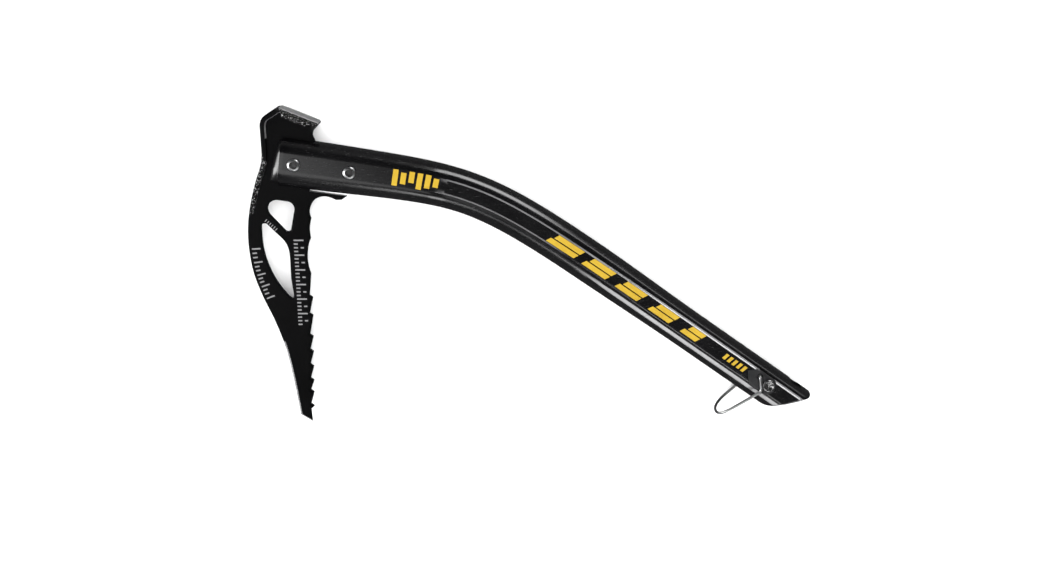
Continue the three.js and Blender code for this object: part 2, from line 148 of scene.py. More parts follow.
def on_shaft(distance, offset=0.0):
    """Points at distances from the mouth and offsets towards the spine."""
    distance, offset = np.broadcast_arrays(np.asarray(distance, float), offset)
    x, y = (np.interp(distance, LINE_AT, LINE[:, i]) for i in (0, 1))
    tx, ty = (np.interp(distance, LINE_AT, LINE_AHEAD[:, i]) for i in (0, 1))
    return np.stack([x - ty * offset, y + tx * offset], axis=-1)


def on_foot(spot):
    return on_shaft(BEND_END_AT + spot[0], spot[1])


def half_width(distance):
    grip = HEAD_HALF_WIDTH + (GRIP_HALF_WIDTH - HEAD_HALF_WIDTH) * smoothstep(
        distance, *NECK_TAPER)
    return grip + (FOOT_HALF_WIDTH - grip) * smoothstep(distance, *FOOT_TAPER)


# -------------------- placing
SCREW_SPOTS = [on_shaft(d, HEAD_SCREW_OFFSET) for d in HEAD_SCREWS]


def box_centre(node):
    low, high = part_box(node)
    return np.array((low + high) / 2) * 1000


ORIGIN = np.array([
    *(box_centre("head_screw_fore")[:2] - SCREW_SPOTS[0]),
    box_centre("shaft_tube")[2],
])


def place(points):
    return (np.asarray(points, float).reshape(-1, 3) + ORIGIN) / 1000


def drawing_points(obj):
    return np.array([v.co for v in obj.data.vertices]) * 1000 - ORIGIN


def store_value(obj, name, values):
    """Keeps a number at each vertex, for a material to read."""
    attribute = obj.data.attributes.new(name, "FLOAT", "POINT")
    attribute.data.foreach_set("value", np.asarray(values, np.float32))


def make(name, verts, faces, materials, body="axe", replaces=(), slot=None, indices=None,
         sharp=32.0):
    """A mesh piece from drawing points, shaded smooth apart from its real edges."""
    mesh = bpy.data.meshes.new(name)
    mesh.from_pydata([tuple(p) for p in place(verts)], [], [tuple(f) for f in faces])
    for material in materials:
        mesh.materials.append(material)
    if indices is not None:
        mesh.polygons.foreach_set("material_index", np.asarray(indices, np.int32))
    tidy = bmesh.new()
    tidy.from_mesh(mesh)
    bmesh.ops.remove_doubles(tidy, verts=tidy.verts, dist=1e-7)
    bmesh.ops.dissolve_degenerate(tidy, edges=tidy.edges, dist=1e-7)
    bmesh.ops.recalc_face_normals(tidy, faces=tidy.faces)
    tidy.to_mesh(mesh)
    tidy.free()
    obj = bpy.data.objects.new(name, mesh)
    bpy.context.scene.collection.objects.link(obj)
    finish_shading(obj, sharp)
    if body:
        register(obj, body, replaces)
    return obj


def finish_shading(obj, sharp=32.0):
    obj.data.polygons.foreach_set("use_smooth", [True] * len(obj.data.polygons))
    obj.data.set_sharp_from_angle(angle=math.radians(sharp))
    obj.data.update()


def register(obj, body, replaces=()):
    if replaces:
        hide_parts(*replaces)
    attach(obj, body)


def cut(obj, cutters):
    """Subtracts the cutter objects from obj and removes them."""
    for cutter in cutters:
        modifier = obj.modifiers.new("cut", "BOOLEAN")
        modifier.operation = "DIFFERENCE"
        modifier.solver = "EXACT"
        modifier.object = cutter
        bpy.context.view_layer.update()
        graph = bpy.context.evaluated_depsgraph_get()
        mesh = bpy.data.meshes.new_from_object(obj.evaluated_get(graph))
        obj.modifiers.clear()
        old, obj.data = obj.data, mesh
        bpy.data.meshes.remove(old)
        bpy.data.objects.remove(cutter)


def loft(rows, closed_ends=True):
    """Faces that join rows of points, each row a closed loop with as many points."""
    count = len(rows[0])
    verts = np.vstack(rows)
    faces = []
    for r in range(len(rows) - 1):
        a, b = r * count, (r + 1) * count
        for i in range(count):
            j = (i + 1) % count
            faces.append((a + i, a + j, b + j, b + i))
    if closed_ends:
        faces.append(tuple(range(count - 1, -1, -1)))
        faces.append(tuple(range(len(verts) - count, len(verts))))
    return verts, faces


def ring_loop(radius, height, at, count):
    angle = 2 * math.pi * np.arange(count) / count
    return np.stack([at[0] + radius * np.cos(angle), at[1] + radius * np.sin(angle),
                     np.full(count, height)], axis=1)


def make_cutter(rows):
    """A closed solid to subtract, lofted through rows of points."""
    return make("cutter", *loft(rows), [], body=None)


def pin_cutter(at, radius, low=-20.0, high=20.0, count=40):
    return make_cutter([ring_loop(radius, height, at, count) for height in (low, high)])


# -------------------- materials
class Nodes:
    """A short way to write a material's node tree."""

    def __init__(self, name):
        self.material = bpy.data.materials.new(name)
        self.material.use_nodes = True
        self.tree = self.material.node_tree
        self.shader = self.tree.nodes["Principled BSDF"]
        self.place = self.add("ShaderNodeTexCoord").outputs["Object"]

    def add(self, kind, **settings):
        node = self.tree.nodes.new(kind)
        for key, value in settings.items():
            setattr(node, key, value)
        return node

    def link(self, value, socket):
        if hasattr(value, "is_linked"):
            self.tree.links.new(value, socket)
        else:
            socket.default_value = value

    def maths(self, operation, a, b=0.0, clamp=False):
        node = self.add("ShaderNodeMath", operation=operation, use_clamp=clamp)
        self.link(a, node.inputs[0])
        self.link(b, node.inputs[1])
        return node.outputs[0]

    def noise(self, scale, detail=3.0, roughness=0.6, stretch=None):
        vector = self.place
        if stretch:
            mapping = self.add("ShaderNodeMapping")
            mapping.inputs["Scale"].default_value = stretch
            self.link(vector, mapping.inputs["Vector"])
            vector = mapping.outputs["Vector"]
        node = self.add("ShaderNodeTexNoise")
        for socket, number in (("Scale", scale), ("Detail", detail), ("Roughness", roughness)):
            node.inputs[socket].default_value = number
        self.link(vector, node.inputs["Vector"])
        return node.outputs["Fac"]

    def ramp(self, value, low, high, out_low=0.0, out_high=1.0):
        node = self.add("ShaderNodeMapRange", clamp=True)
        for socket, number in zip(("From Min", "From Max", "To Min", "To Max"),
                                  (low, high, out_low, out_high)):
            node.inputs[socket].default_value = number
        self.link(value, node.inputs["Value"])
        return node.outputs["Result"]

    def mix(self, factor, a, b):
        node = self.add("ShaderNodeMix", data_type="RGBA")
        self.link(factor, node.inputs["Factor"])
        self.link((*a, 1.0) if isinstance(a, tuple) else a, node.inputs[6])
        self.link((*b, 1.0) if isinstance(b, tuple) else b, node.inputs[7])
        return node.outputs[2]

    def attribute(self, name):
        node = self.add("ShaderNodeAttribute", attribute_name=name)
        return node.outputs["Fac"]

    def bump(self, height, distance, strength=1.0, before=None):
        node = self.add("ShaderNodeBump")
        node.inputs["Distance"].default_value = distance
        self.link(strength, node.inputs["Strength"])
        self.link(height, node.inputs["Height"])
        if before is not None:
            self.link(before, node.inputs["Normal"])
        return node.outputs["Normal"]

    def finish(self, colour, roughness, normal=None, metallic=0.0, **fixed):
        self.link((*colour, 1.0) if isinstance(colour, tuple) else colour,
                  self.shader.inputs["Base Color"])
        self.link(roughness, self.shader.inputs["Roughness"])
        self.link(metallic, self.shader.inputs["Metallic"])
        if normal is not None:
            self.link(normal, self.shader.inputs["Normal"])
        for name, value in fixed.items():
            self.shader.inputs[name.replace("_", " ")].default_value = value
        return self.material


def anodised():
    """Glossy black anodised aluminium: faint drawn lines, fine scuffs, a little dust, and where the
    vertex value `bright` says, a pale metallic grey that is partly bare metal and partly painted
    highlight lines.
    """
    n = Nodes("anodised_black")
    scuffs = n.ramp(n.noise(900, 4, 0.7, stretch=(0.16, 1.0, 1.0)), 0.56, 0.74)
    cloud = n.noise(26, 4)
    bright = n.attribute("bright")
    colour = n.mix(n.ramp(cloud, 0.3, 0.7), (0.0012, 0.0012, 0.0014), (0.0024, 0.0024, 0.0027))
    colour = n.mix(n.maths("MULTIPLY", scuffs, 0.25), colour, (0.012, 0.012, 0.0125))
    # Painted highlight: where `bright` says, the black turns a pale metallic grey, partly bare metal
    # and partly painted highlight lines.
    patchy_shine = n.maths("MULTIPLY", bright, n.ramp(n.noise(140, 3), 0.25, 0.6, 0.7, 1.0))
    colour = n.mix(patchy_shine, colour, (0.55, 0.55, 0.56))
    roughness = n.maths("ADD", n.ramp(cloud, 0.3, 0.7, 0.16, 0.22),
                        n.maths("MULTIPLY", scuffs, 0.14))
    grain = n.bump(n.noise(3400, 2, 0.5), 0.000004, 0.45)
    normal = n.bump(n.noise(60, 2, 0.5), 0.00006, 0.2, before=grain)
    return n.finish(colour, roughness, normal, n.maths("MULTIPLY", patchy_shine, 0.85),
                    Specular_IOR_Level=1.0)


def forged():
    """Matt black coat over forged steel: fine grain all over, and hammered rough scale with
    small pale metallic specks where the vertex value `rough` says so."""
    n = Nodes("coated_forged_steel")
    rough = n.attribute("rough")
    cloud = n.noise(18, 5)
    fine = n.noise(3000, 3, 0.6)
    scale = n.noise(620, 5, 0.72)
    bright_specks = n.maths("MULTIPLY", n.ramp(n.noise(1050, 3, 0.8), 0.605, 0.625),
                    n.ramp(rough, 0.25, 0.5), clamp=True)
    rubbed = n.maths("MULTIPLY", n.ramp(n.noise(240, 5, 0.75), 0.63, 0.70), 0.25)
    colour = n.mix(n.ramp(cloud, 0.3, 0.7), (0.0008, 0.0008, 0.0009), (0.0018, 0.0018, 0.002))
    colour = n.mix(n.maths("MULTIPLY", rough, 0.7), colour, (0.001, 0.001, 0.001))
    colour = n.mix(rubbed, colour, (0.008, 0.008, 0.0083))
    colour = n.mix(bright_specks, colour, (0.85, 0.85, 0.86))
    roughness = n.maths("SUBTRACT", n.ramp(cloud, 0.3, 0.7, 0.38, 0.46),
                        n.maths("MULTIPLY", bright_specks, 0.16))
    normal = n.bump(fine, 0.000012, 0.7)
    normal = n.bump(scale, 0.00045, n.maths("MULTIPLY", rough, 1.0), before=normal)
    return n.finish(colour, roughness, normal, n.maths("MULTIPLY", bright_specks, 0.3),
                    Specular_IOR_Level=0.05)


def ground_steel():
    """Bare steel from the grinding belt, with short scratches along the edge. It is also put on the
    heel's wall and the rim's inner edge as painted highlight lines.
    """
    n = Nodes("ground_steel_and_painted_shine")
    lines = n.noise(420, 4, 0.75, stretch=(0.2, 1.0, 6.0))
    cloud = n.noise(55, 3)
    colour = n.mix(n.ramp(lines, 0.3, 0.7), (0.15, 0.15, 0.152), (0.38, 0.38, 0.386))
    colour = n.mix(n.ramp(cloud, 0.55, 0.75, 0.0, 0.5), colour, (0.05, 0.05, 0.052))
    roughness = n.ramp(lines, 0.3, 0.7, 0.32, 0.46)
    normal = n.bump(lines, 0.00004, 0.6)
    return n.finish(colour, roughness, normal, metallic=0.45)


def stainless(name, rings, dark, light):
    """Bright stainless: turned rings on the screws, drawn lines on the wire."""
    n = Nodes(name)
    cloud = n.noise(130, 3)
    lines = n.noise(1500, 3, 0.7, stretch=(1.0, 1.0, 0.15) if rings else (0.3, 0.3, 1.0))
    colour = n.mix(n.ramp(lines, 0.3, 0.7), dark, light)
    colour = n.mix(n.ramp(cloud, 0.62, 0.8, 0.0, 0.6), colour, (0.30, 0.30, 0.30))
    roughness = n.ramp(cloud, 0.3, 0.7, 0.24, 0.34) if rings else n.ramp(cloud, 0.3, 0.7, 0.34, 0.42)
    normal = n.bump(lines, 0.000012, 0.5)
    return n.finish(colour, roughness, normal, metallic=1.0)


def dished_steel():
    """The foot screw: bare steel with rings turned in its dished face."""
    n = Nodes("dished_turned_stainless")
    turned = n.attribute("turned")
    wave = n.maths("SINE", n.maths("MULTIPLY", turned, 2 * math.pi))
    cloud = n.noise(300, 3)
    colour = n.mix(n.ramp(cloud, 0.35, 0.7), (0.34, 0.341, 0.343), (0.50, 0.502, 0.505))
    normal = n.bump(wave, 0.00003, 0.8)
    return n.finish(colour, n.ramp(cloud, 0.3, 0.7, 0.16, 0.24), normal, metallic=1.0)


def moulded(name, dark, light, roughness, grain, shine=0.5):
    """Moulded plastic with a fine spark-eroded grain and scuffed high spots."""
    n = Nodes(name)
    cloud = n.noise(70, 4)
    texture = n.noise(2600, 2, 0.5)
    scuffs = n.ramp(n.noise(520, 5, 0.8), 0.64, 0.74, 0.0, 0.35)
    colour = n.mix(n.ramp(cloud, 0.3, 0.7), dark, light)
    colour = n.mix(scuffs, colour, tuple(1.6 * c + 0.004 for c in light))
    rough = n.ramp(cloud, 0.3, 0.7, roughness, roughness + 0.12)
    return n.finish(colour, rough, n.bump(texture, grain, 0.6), Specular_IOR_Level=shine)


def printed():
    """Yellow print: slightly uneven ink with small worn spots that show the black."""
    n = Nodes("yellow_print")
    cloud = n.noise(90, 4)
    worn = n.ramp(n.noise(1900, 4, 0.8), 0.66, 0.72)
    colour = n.mix(n.ramp(cloud, 0.3, 0.7), (0.33, 0.205, 0.0022), (0.385, 0.25, 0.005))
    colour = n.mix(worn, colour, (0.10, 0.075, 0.02))
    return n.finish(colour, n.ramp(cloud, 0.3, 0.7, 0.34, 0.44),
                    n.bump(n.noise(2400, 2), 0.000006, 0.5), Specular_IOR_Level=0.25)


def etched():
    """Laser-etched marks: a pale frosted grey with a broken edge."""
    n = Nodes("pale_etching")
    speck = n.noise(2600, 4, 0.8)
    colour = n.mix(n.ramp(speck, 0.35, 0.6), (0.06, 0.06, 0.062), (0.21, 0.21, 0.214))
    return n.finish(colour, n.ramp(speck, 0.3, 0.7, 0.45, 0.6),
                    n.bump(speck, 0.00001, 0.6))


def floor_material():
    n = Nodes("pale_floor")
    cloud = n.noise(1.3, 3)
    colour = n.mix(n.ramp(cloud, 0.3, 0.7), (0.86, 0.86, 0.862), (0.885, 0.885, 0.885))
    return n.finish(colour, 0.75, n.bump(n.noise(700, 2), 0.00002, 0.3))


def backdrop_material():
    n = Nodes("pale_backdrop")
    cloud = n.noise(0.4, 2)
    shade = n.mix(n.ramp(cloud, 0.3, 0.7), (0.95, 0.95, 0.952), (0.98, 0.98, 0.98))
    n.link(shade, n.shader.inputs["Emission Color"])
    return n.finish((0.0, 0.0, 0.0), 1.0, Emission_Strength=1.0, Specular_IOR_Level=0.0)


ANODISED, FORGED, GROUND_AND_SHINE = anodised(), forged(), ground_steel()
TURNED = stainless("turned_stainless", True, (0.46, 0.463, 0.466), (0.66, 0.665, 0.67))
DRAWN = stainless("drawn_stainless", False, (0.44, 0.442, 0.446), (0.62, 0.622, 0.626))
DISHED = dished_steel()
FILLER = moulded("black_filler_plastic", (0.0022, 0.0022, 0.0024), (0.004, 0.004, 0.0043),
                 0.24, 0.000006, 1.0)
PLATE = moulded("grey_moulded_plate", (0.0048, 0.0049, 0.0054), (0.0085, 0.0087, 0.0094),
                0.42, 0.000018)
PRINT, ETCH = printed(), etched()
# Painted shade: a dark finish for the inside of the screws' sockets and their countersinks.
SOCKET_SHADE = moulded("socket_painted_shade", (0.006, 0.006, 0.006), (0.03, 0.03, 0.03), 0.3, 0.00001)


# -------------------- shaft tube
ARC_STEPS = 22
BEVEL_SHARES = np.array([0.75, 0.32, 0.12, 0.0])   # points down the panel's bevelled edge
BEVEL_MARGIN = 0.4                     # level strip outside that edge


def panel_raise(distance):
    early, late = PANEL_RAISE
    grown = early + (late - early) * smoothstep(distance, *PANEL_GROWS)
    return grown * smoothstep(distance, *PANEL_START)


def front_section(distance, inset=0.0):
    """Offsets and heights from the spine's nose over the front to the belly's nose."""
    w = float(half_width(max(distance, 0.0))) - inset
    raised = float(panel_raise(distance))
    narrowed = float(smoothstep(distance, *PANEL_START))
    half = NECK_FLAT_HALF + (PANEL_HALF - NECK_FLAT_HALF) * narrowed
    run = raised / math.tan(PANEL_EDGE_SLOPE) + BEVEL_MARGIN
    top = HALF_DEPTH - inset
    shoulder = top - raised
    spine_from, belly_from = FLAT_CENTRE + half + run, FLAT_CENTRE - half - run
    turn = np.linspace(0, math.pi / 2, ARC_STEPS)
    across = half + 0.9 * run * BEVEL_SHARES
    down = top - raised * BEVEL_SHARES / 0.9
    inner = np.array([half - 0.3, 0.5 * half, 0.0, -0.5 * half, 0.3 - half])
    belly_offsets, belly_heights = belly_side(distance, belly_from, w + belly_from, shoulder)
    offsets = np.concatenate([
        spine_from + (w - spine_from) * np.cos(turn), FLAT_CENTRE + across,
        FLAT_CENTRE + inner, FLAT_CENTRE - across[::-1], belly_offsets])
    heights = np.concatenate([
        shoulder * np.sin(turn), down, np.full(len(inner), top), down[::-1], belly_heights])
    return offsets, np.maximum(heights, 0)


def belly_side(distance, start, width, height):
    """The belly's round, flattened past the bend into a broad facet that catches the light."""
    share = float(smoothstep(distance, *FACET_GROWS))
    middle, half = sum(FACET) / 2, (FACET[1] - FACET[0]) / 2 * share
    first, last = (math.acos(min(1.0, (start - offset) / width))
                   for offset in (middle + half, middle - half))
    count = ARC_STEPS // 3
    upper = np.linspace(math.pi / 2, first, count)
    lower = np.linspace(last, 0, ARC_STEPS - count + 2)

    def round_at(turn):
        return np.stack([start - width * np.cos(turn), height * np.sin(turn)], axis=-1)

    a, b = round_at(first), round_at(last)
    chord = [a + (b - a) * t for t in (0.06, 0.5, 0.94)]
    return np.vstack([round_at(upper), chord, round_at(lower)]).T


def section_loop(distance, inset=0.0):
    """The whole section as a closed loop of offsets and heights."""
    o, z = front_section(distance, inset)
    return np.r_[o, o[-2:0:-1]], np.r_[z, -z[-2:0:-1]]


def foot_end(offset):
    """Distance of the slanting cut at an offset, with its two corners rounded off."""
    w = FOOT_HALF_WIDTH
    end = TUBE_LENGTH - CUT_BACK * (w - offset) / (2 * w)
    tip = np.clip(1 - (w - offset) / 3.5, 0, 1) ** 2
    heel = np.clip(1 - (w + offset) / 6.0, 0, 1) ** 2
    return end - 1.9 * tip - 2.6 * heel


def tube_rows(lip=0.4):
    """Rows of points from the bore's foot to its mouth, over the lip and back outside."""
    straight_from = TUBE_LENGTH - CUT_BACK - 10
    stations = list(np.r_[np.arange(lip, 100, 3.0), np.arange(100, 130, 1.0),
                          np.arange(130, straight_from, 3.0)])

    def row(distance, inset):
        o, z = section_loop(distance, inset)
        return np.column_stack([on_shaft(distance, o), z])

    def end_row(share, inset, back=0.0):
        o, z = section_loop(straight_from, inset)
        end = foot_end(o)
        return np.column_stack([on_shaft(straight_from + (end - straight_from) * share - back, o), z])

    shares = (0.0, 0.25, 0.5, 0.75, 0.9)
    rim = [(lip * (1 - math.sin(t)), lip * (1 - math.cos(t)))
           for t in np.linspace(0, math.pi / 2, 4)]
    outside = [row(back, inset) for back, inset in reversed(rim)]
    outside += [row(d, 0.0) for d in stations[1:]]
    outside += [end_row(s, 0.0) for s in shares]
    outside += [end_row(1.0, inset, back) for back, inset in rim]
    inside = [end_row(1.0, WALL - inset, back) for back, inset in reversed(rim)]
    inside += [end_row(s, WALL) for s in reversed(shares)]
    inside += [row(d, WALL) for d in stations[:0:-2]]
    inside += [row(back, WALL - inset) for back, inset in rim]
    return outside + inside


def slot_cutter(length, side):
    inside, outside = side * 6.0, side * 30.0
    corners = np.vstack([on_shaft(-15, inside), on_shaft(length, inside),
                         on_shaft(length, outside), on_shaft(-15, outside)])
    rows = [np.column_stack([corners, np.full(4, z)]) for z in (-SLOT_HALF, SLOT_HALF)]
    return make_cutter(rows)


def cord_hole_cutter():
    turn = np.linspace(0, 2 * math.pi, 48, endpoint=False)
    along, up = CORD_HOLE_LONG * np.cos(turn), CORD_HOLE_TALL * np.sin(turn)
    rows = [np.column_stack([on_foot((CORD_HOLE + along, np.full(len(along), o))), up])
            for o in (8.0, 22.0)]
    return make_cutter(rows)


def build_shaft():
    rows = tube_rows()
    verts, faces = loft(rows + [rows[0]], closed_ends=False)
    tube = make("shaft_tube_skin", verts, faces, [ANODISED], body=None)
    cutters = [slot_cutter(SPINE_SLOT, 1), slot_cutter(BELLY_SLOT, -1), cord_hole_cutter()]
    cutters += [pin_cutter(spot, SLEEVE + GAP) for spot in SCREW_SPOTS]
    cutters += [pin_cutter(on_foot(FOOT_SCREW), SLEEVE + GAP),
                pin_cutter(on_foot(BAIL_PIVOT), WIRE + GAP, count=20)]
    cut(tube, cutters)
    round_cord_hole(tube)
    finish_shading(tube, 34)
    store_painted_shine(tube)
    register(tube, "axe", ["shaft_tube"])


SPINE_PAINTED_SHINE, BELLY_PAINTED_SHINE, FACET_PAINTED_SHINE = 0.25, 0.22, 0.3   # how pale and metallic these edges are made: partly bare metal, partly painted highlight
PANEL_SHINE_STARTS = (112, 128)               # stretch over which the painted highlight on the panel's edges comes in
SPINE_SHINE_GROWS = (225, 262)               # stretch over which the spine edge's painted highlight grows to full
BELLY_SHINE_FADES = (205, 225)               # stretch over which the belly edge's painted highlight fades out and it goes black again


def store_painted_shine(tube):
    """The value `bright`: how far the panel's bevelled edges and the belly's facet are made a pale
    metallic grey, partly bare metal and partly painted highlight lines.
    """
    flat = drawing_points(tube)
    nearest = np.array([int(np.argmin(((LINE - p[:2]) ** 2).sum(1))) for p in flat])
    distance, ahead = LINE_AT[nearest], LINE_AHEAD[nearest]
    away = flat[:, :2] - LINE[nearest]
    offset = away[:, 1] * ahead[:, 0] - away[:, 0] * ahead[:, 1]
    raised = panel_raise(distance)
    run = raised / math.tan(PANEL_EDGE_SLOPE)
    spine = np.abs(offset - FLAT_CENTRE - PANEL_HALF - run / 2) < run / 2 + 0.25
    belly = np.abs(offset - FLAT_CENTRE + PANEL_HALF + run / 2) < run / 2 + 0.25
    outside = np.abs(flat[:, 2]) > HALF_DEPTH - 1.5
    strength = SPINE_PAINTED_SHINE + (1 - SPINE_PAINTED_SHINE) * smoothstep(distance, *SPINE_SHINE_GROWS)
    fades = BELLY_PAINTED_SHINE * (1 - smoothstep(distance, *BELLY_SHINE_FADES))
    value = np.where(spine, strength, np.where(belly, fades, 0)) * outside
    facet = np.abs(offset - 0.5 * (FACET[0] + FACET[1])) < 0.5 * (FACET[1] - FACET[0]) + 0.1
    front = np.abs(flat[:, 2]) > 0.5 * HALF_DEPTH
    value = np.where(facet & front, FACET_PAINTED_SHINE * smoothstep(distance, *FACET_GROWS), value)
    value *= smoothstep(distance, *PANEL_SHINE_STARTS) * (raised > 0.05)
    store_value(tube, "bright", value)


RIM_ANGLE = math.radians(50)           # sharper edges than this are the hole's rim
RIM_REACH, RIM_ROUND = 0.0088, 0.0003  # metres from the hole's middle, and how far it is cut


def round_cord_hole(tube):
    centre = Vector(place([*on_foot((CORD_HOLE, FOOT_HALF_WIDTH)), 0])[0])
    mesh = bmesh.new()
    mesh.from_mesh(tube.data)
    near = [e for e in mesh.edges
            if len(e.link_faces) == 2 and e.calc_face_angle() > RIM_ANGLE
            and (sum((v.co for v in e.verts), Vector()) / 2 - centre).length < RIM_REACH]
    bmesh.ops.bevel(mesh, geom=near, offset=RIM_ROUND, segments=2, affect="EDGES",
                    clamp_overlap=True)
    mesh.to_mesh(tube.data)
    mesh.free()


# -------------------- plates cut to an outline
def inside_polygon(points, polygon):
    x, y = points[:, 0:1], points[:, 1:2]
    a, b = polygon, np.roll(polygon, -1, axis=0)
    crosses = (a[:, 1] > y) != (b[:, 1] > y)
    rise = np.where(b[:, 1] == a[:, 1], 1e-12, b[:, 1] - a[:, 1])
    at = a[:, 0] + (y - a[:, 1]) * (b[:, 0] - a[:, 0]) / rise
    return (np.sum(crosses & (x < at), axis=1) % 2) == 1


def inside_loops(points, loops):
    keep = inside_polygon(points, loops[0])
    for hole in loops[1:]:
        keep &= ~inside_polygon(points, hole)
    return keep


def to_loops(points, loops):
    """Distance to the nearest edge of the loops, and which loop point is nearest."""
    best = np.full(len(points), 1e9)
    which = np.zeros(len(points), int)
    base = 0
    for loop in loops:
        a, b = loop, np.roll(loop, -1, axis=0)
        run = b - a
        length = np.maximum((run ** 2).sum(1), 1e-12)
        for start in range(0, len(points), 2000):
            p = points[start:start + 2000]
            t = np.clip(((p[:, None] - a) * run).sum(2) / length, 0, 1)
            gap = np.linalg.norm(p[:, None] - (a + t[..., None] * run), axis=2)
            near = gap.argmin(1)
            d = gap[np.arange(len(p)), near]
            closer = d < best[start:start + 2000]
            here = (near + (t[np.arange(len(p)), near] > 0.5)) % len(a) + base
            best[start:start + 2000] = np.where(closer, d, best[start:start + 2000])
            which[start:start + 2000] = np.where(closer, here, which[start:start + 2000])
        base += len(loop)
    return best, which


def even(points, step):
    """The loop again with points about `step` apart, its own corners kept."""
    points = np.asarray(points, float)
    out = []
    for a, b in zip(points, np.roll(points, -1, axis=0)):
        count = max(1, int(round(np.linalg.norm(b - a) / step)))
        out += [a + (b - a) * i / count for i in range(count)]
    return np.array(out)


def plate_mesh(loops, rings, grid, surface):
    """A plate bounded by loops[0] with loops[1:] as holes.  `surface(points, gap, nearest)`
    gives its top and bottom heights.  Returns vertices, faces and, for each face, the loop
    point that its side wall starts from or -1 on the two sides."""
    edge = np.vstack(loops)
    inner = [edge]
    for loop in loops:
        ahead = np.roll(loop, -1, axis=0) - np.roll(loop, 1, axis=0)
        ahead /= np.linalg.norm(ahead, axis=1)[:, None]
        left = np.stack([-ahead[:, 1], ahead[:, 0]], axis=1)
        area = 0.5 * np.sum(loop[:, 0] * np.roll(loop[:, 1], -1)
                            - loop[:, 1] * np.roll(loop[:, 0], -1))
        inward = left * math.copysign(1, area) * (1 if loop is loops[0] else -1)
        for ring in rings:
            inner.append(loop + inward * ring)
    low, high = loops[0].min(0), loops[0].max(0)
    xs = np.arange(low[0], high[0], grid)
    ys = np.arange(low[1], high[1], grid * 0.866)
    inner.append(np.array([[x + (k % 2) * grid / 2, y] for k, y in enumerate(ys) for x in xs]))
    least = [0.0] + [r * 0.93 for _ in loops for r in rings] + [rings[-1] + grid * 0.45]
    points = [edge]
    for cloud, gap in zip(inner[1:], least[1:]):
        cloud = cloud[inside_loops(cloud, loops)]
        points.append(cloud[to_loops(cloud, loops)[0] >= gap])
    points = np.vstack(points)
    edges, base = [], 0
    for loop in loops:
        count = len(loop)
        edges += [(base + i, base + (i + 1) % count) for i in range(count)]
        base += count
    flat, _, tris, *_ = delaunay_2d_cdt([Vector(p) for p in points], edges, [], 0, 1e-6)
    flat = np.array([tuple(p) for p in flat])
    centres = np.array([flat[list(t)].mean(0) for t in tris])
    tris = [t for t, keep in zip(tris, inside_loops(centres, loops)) if keep]
    gap, nearest = to_loops(flat, loops)
    top, bottom = surface(flat, gap, nearest)
    count = len(flat)
    verts = np.vstack([np.column_stack([flat, top]), np.column_stack([flat, bottom])])
    faces = [tuple(t) for t in tris] + [tuple(count + i for i in reversed(t)) for t in tris]
    wall = [-1] * len(faces)
    sides = dict.fromkeys((a, b) for t in tris for a, b in zip(t, (*t[1:], t[0])))
    for a, b in sides:
        if (b, a) not in sides:
            faces.append((b, a, count + a, count + b))
            wall.append(int(nearest[a]))
    return verts, faces, wall, flat, gap, nearest


# -------------------- head
def bezier(a, control, b, steps=8):
    t = np.linspace(0, 1, steps + 1)[1:, None]
    a, control, b = map(np.asarray, (a, control, b))
    return (1 - t) ** 2 * a + 2 * (1 - t) * t * control + t * t * b


def bends(start, *pairs, steps=8):
    """A point and the round bends that follow it, each given by its control and its end."""
    out = [start]
    for control, end in pairs:
        out += list(bezier(out[-1], control, end, steps))
    return out


def spline(points, steps=8):
    """A smooth curve through the points, as evenly eased as the CAD's own."""
    points = np.asarray(points, float)
    padded = np.vstack([points[0], points, points[-1]])
    out = []
    for p0, p1, p2, p3 in zip(padded, padded[1:], padded[2:], padded[3:]):
        for t in np.arange(steps) / steps:
            v0, v1 = (p2 - p0) / 2, (p3 - p1) / 2
            out.append((2 * p1 - 2 * p2 + v0 + v1) * t ** 3
                       + (3 * p2 - 3 * p1 - 2 * v0 - v1) * t ** 2 + v0 * t + p1)
    return np.array(out + [points[-1]])


BACK = [(-197.6, 86), (-202, 72), (-205.9, 55), (-207.2, 36), (-205, 14), (-199, -5.5),
        (-190.5, -26), (-183.6, -48), (-178.4, -77), (-175.2, -101.3)]


def tooth_root(y):
    """Where the line between the teeth's roots crosses a level."""
    return -164 + (y + 5) * 0.032


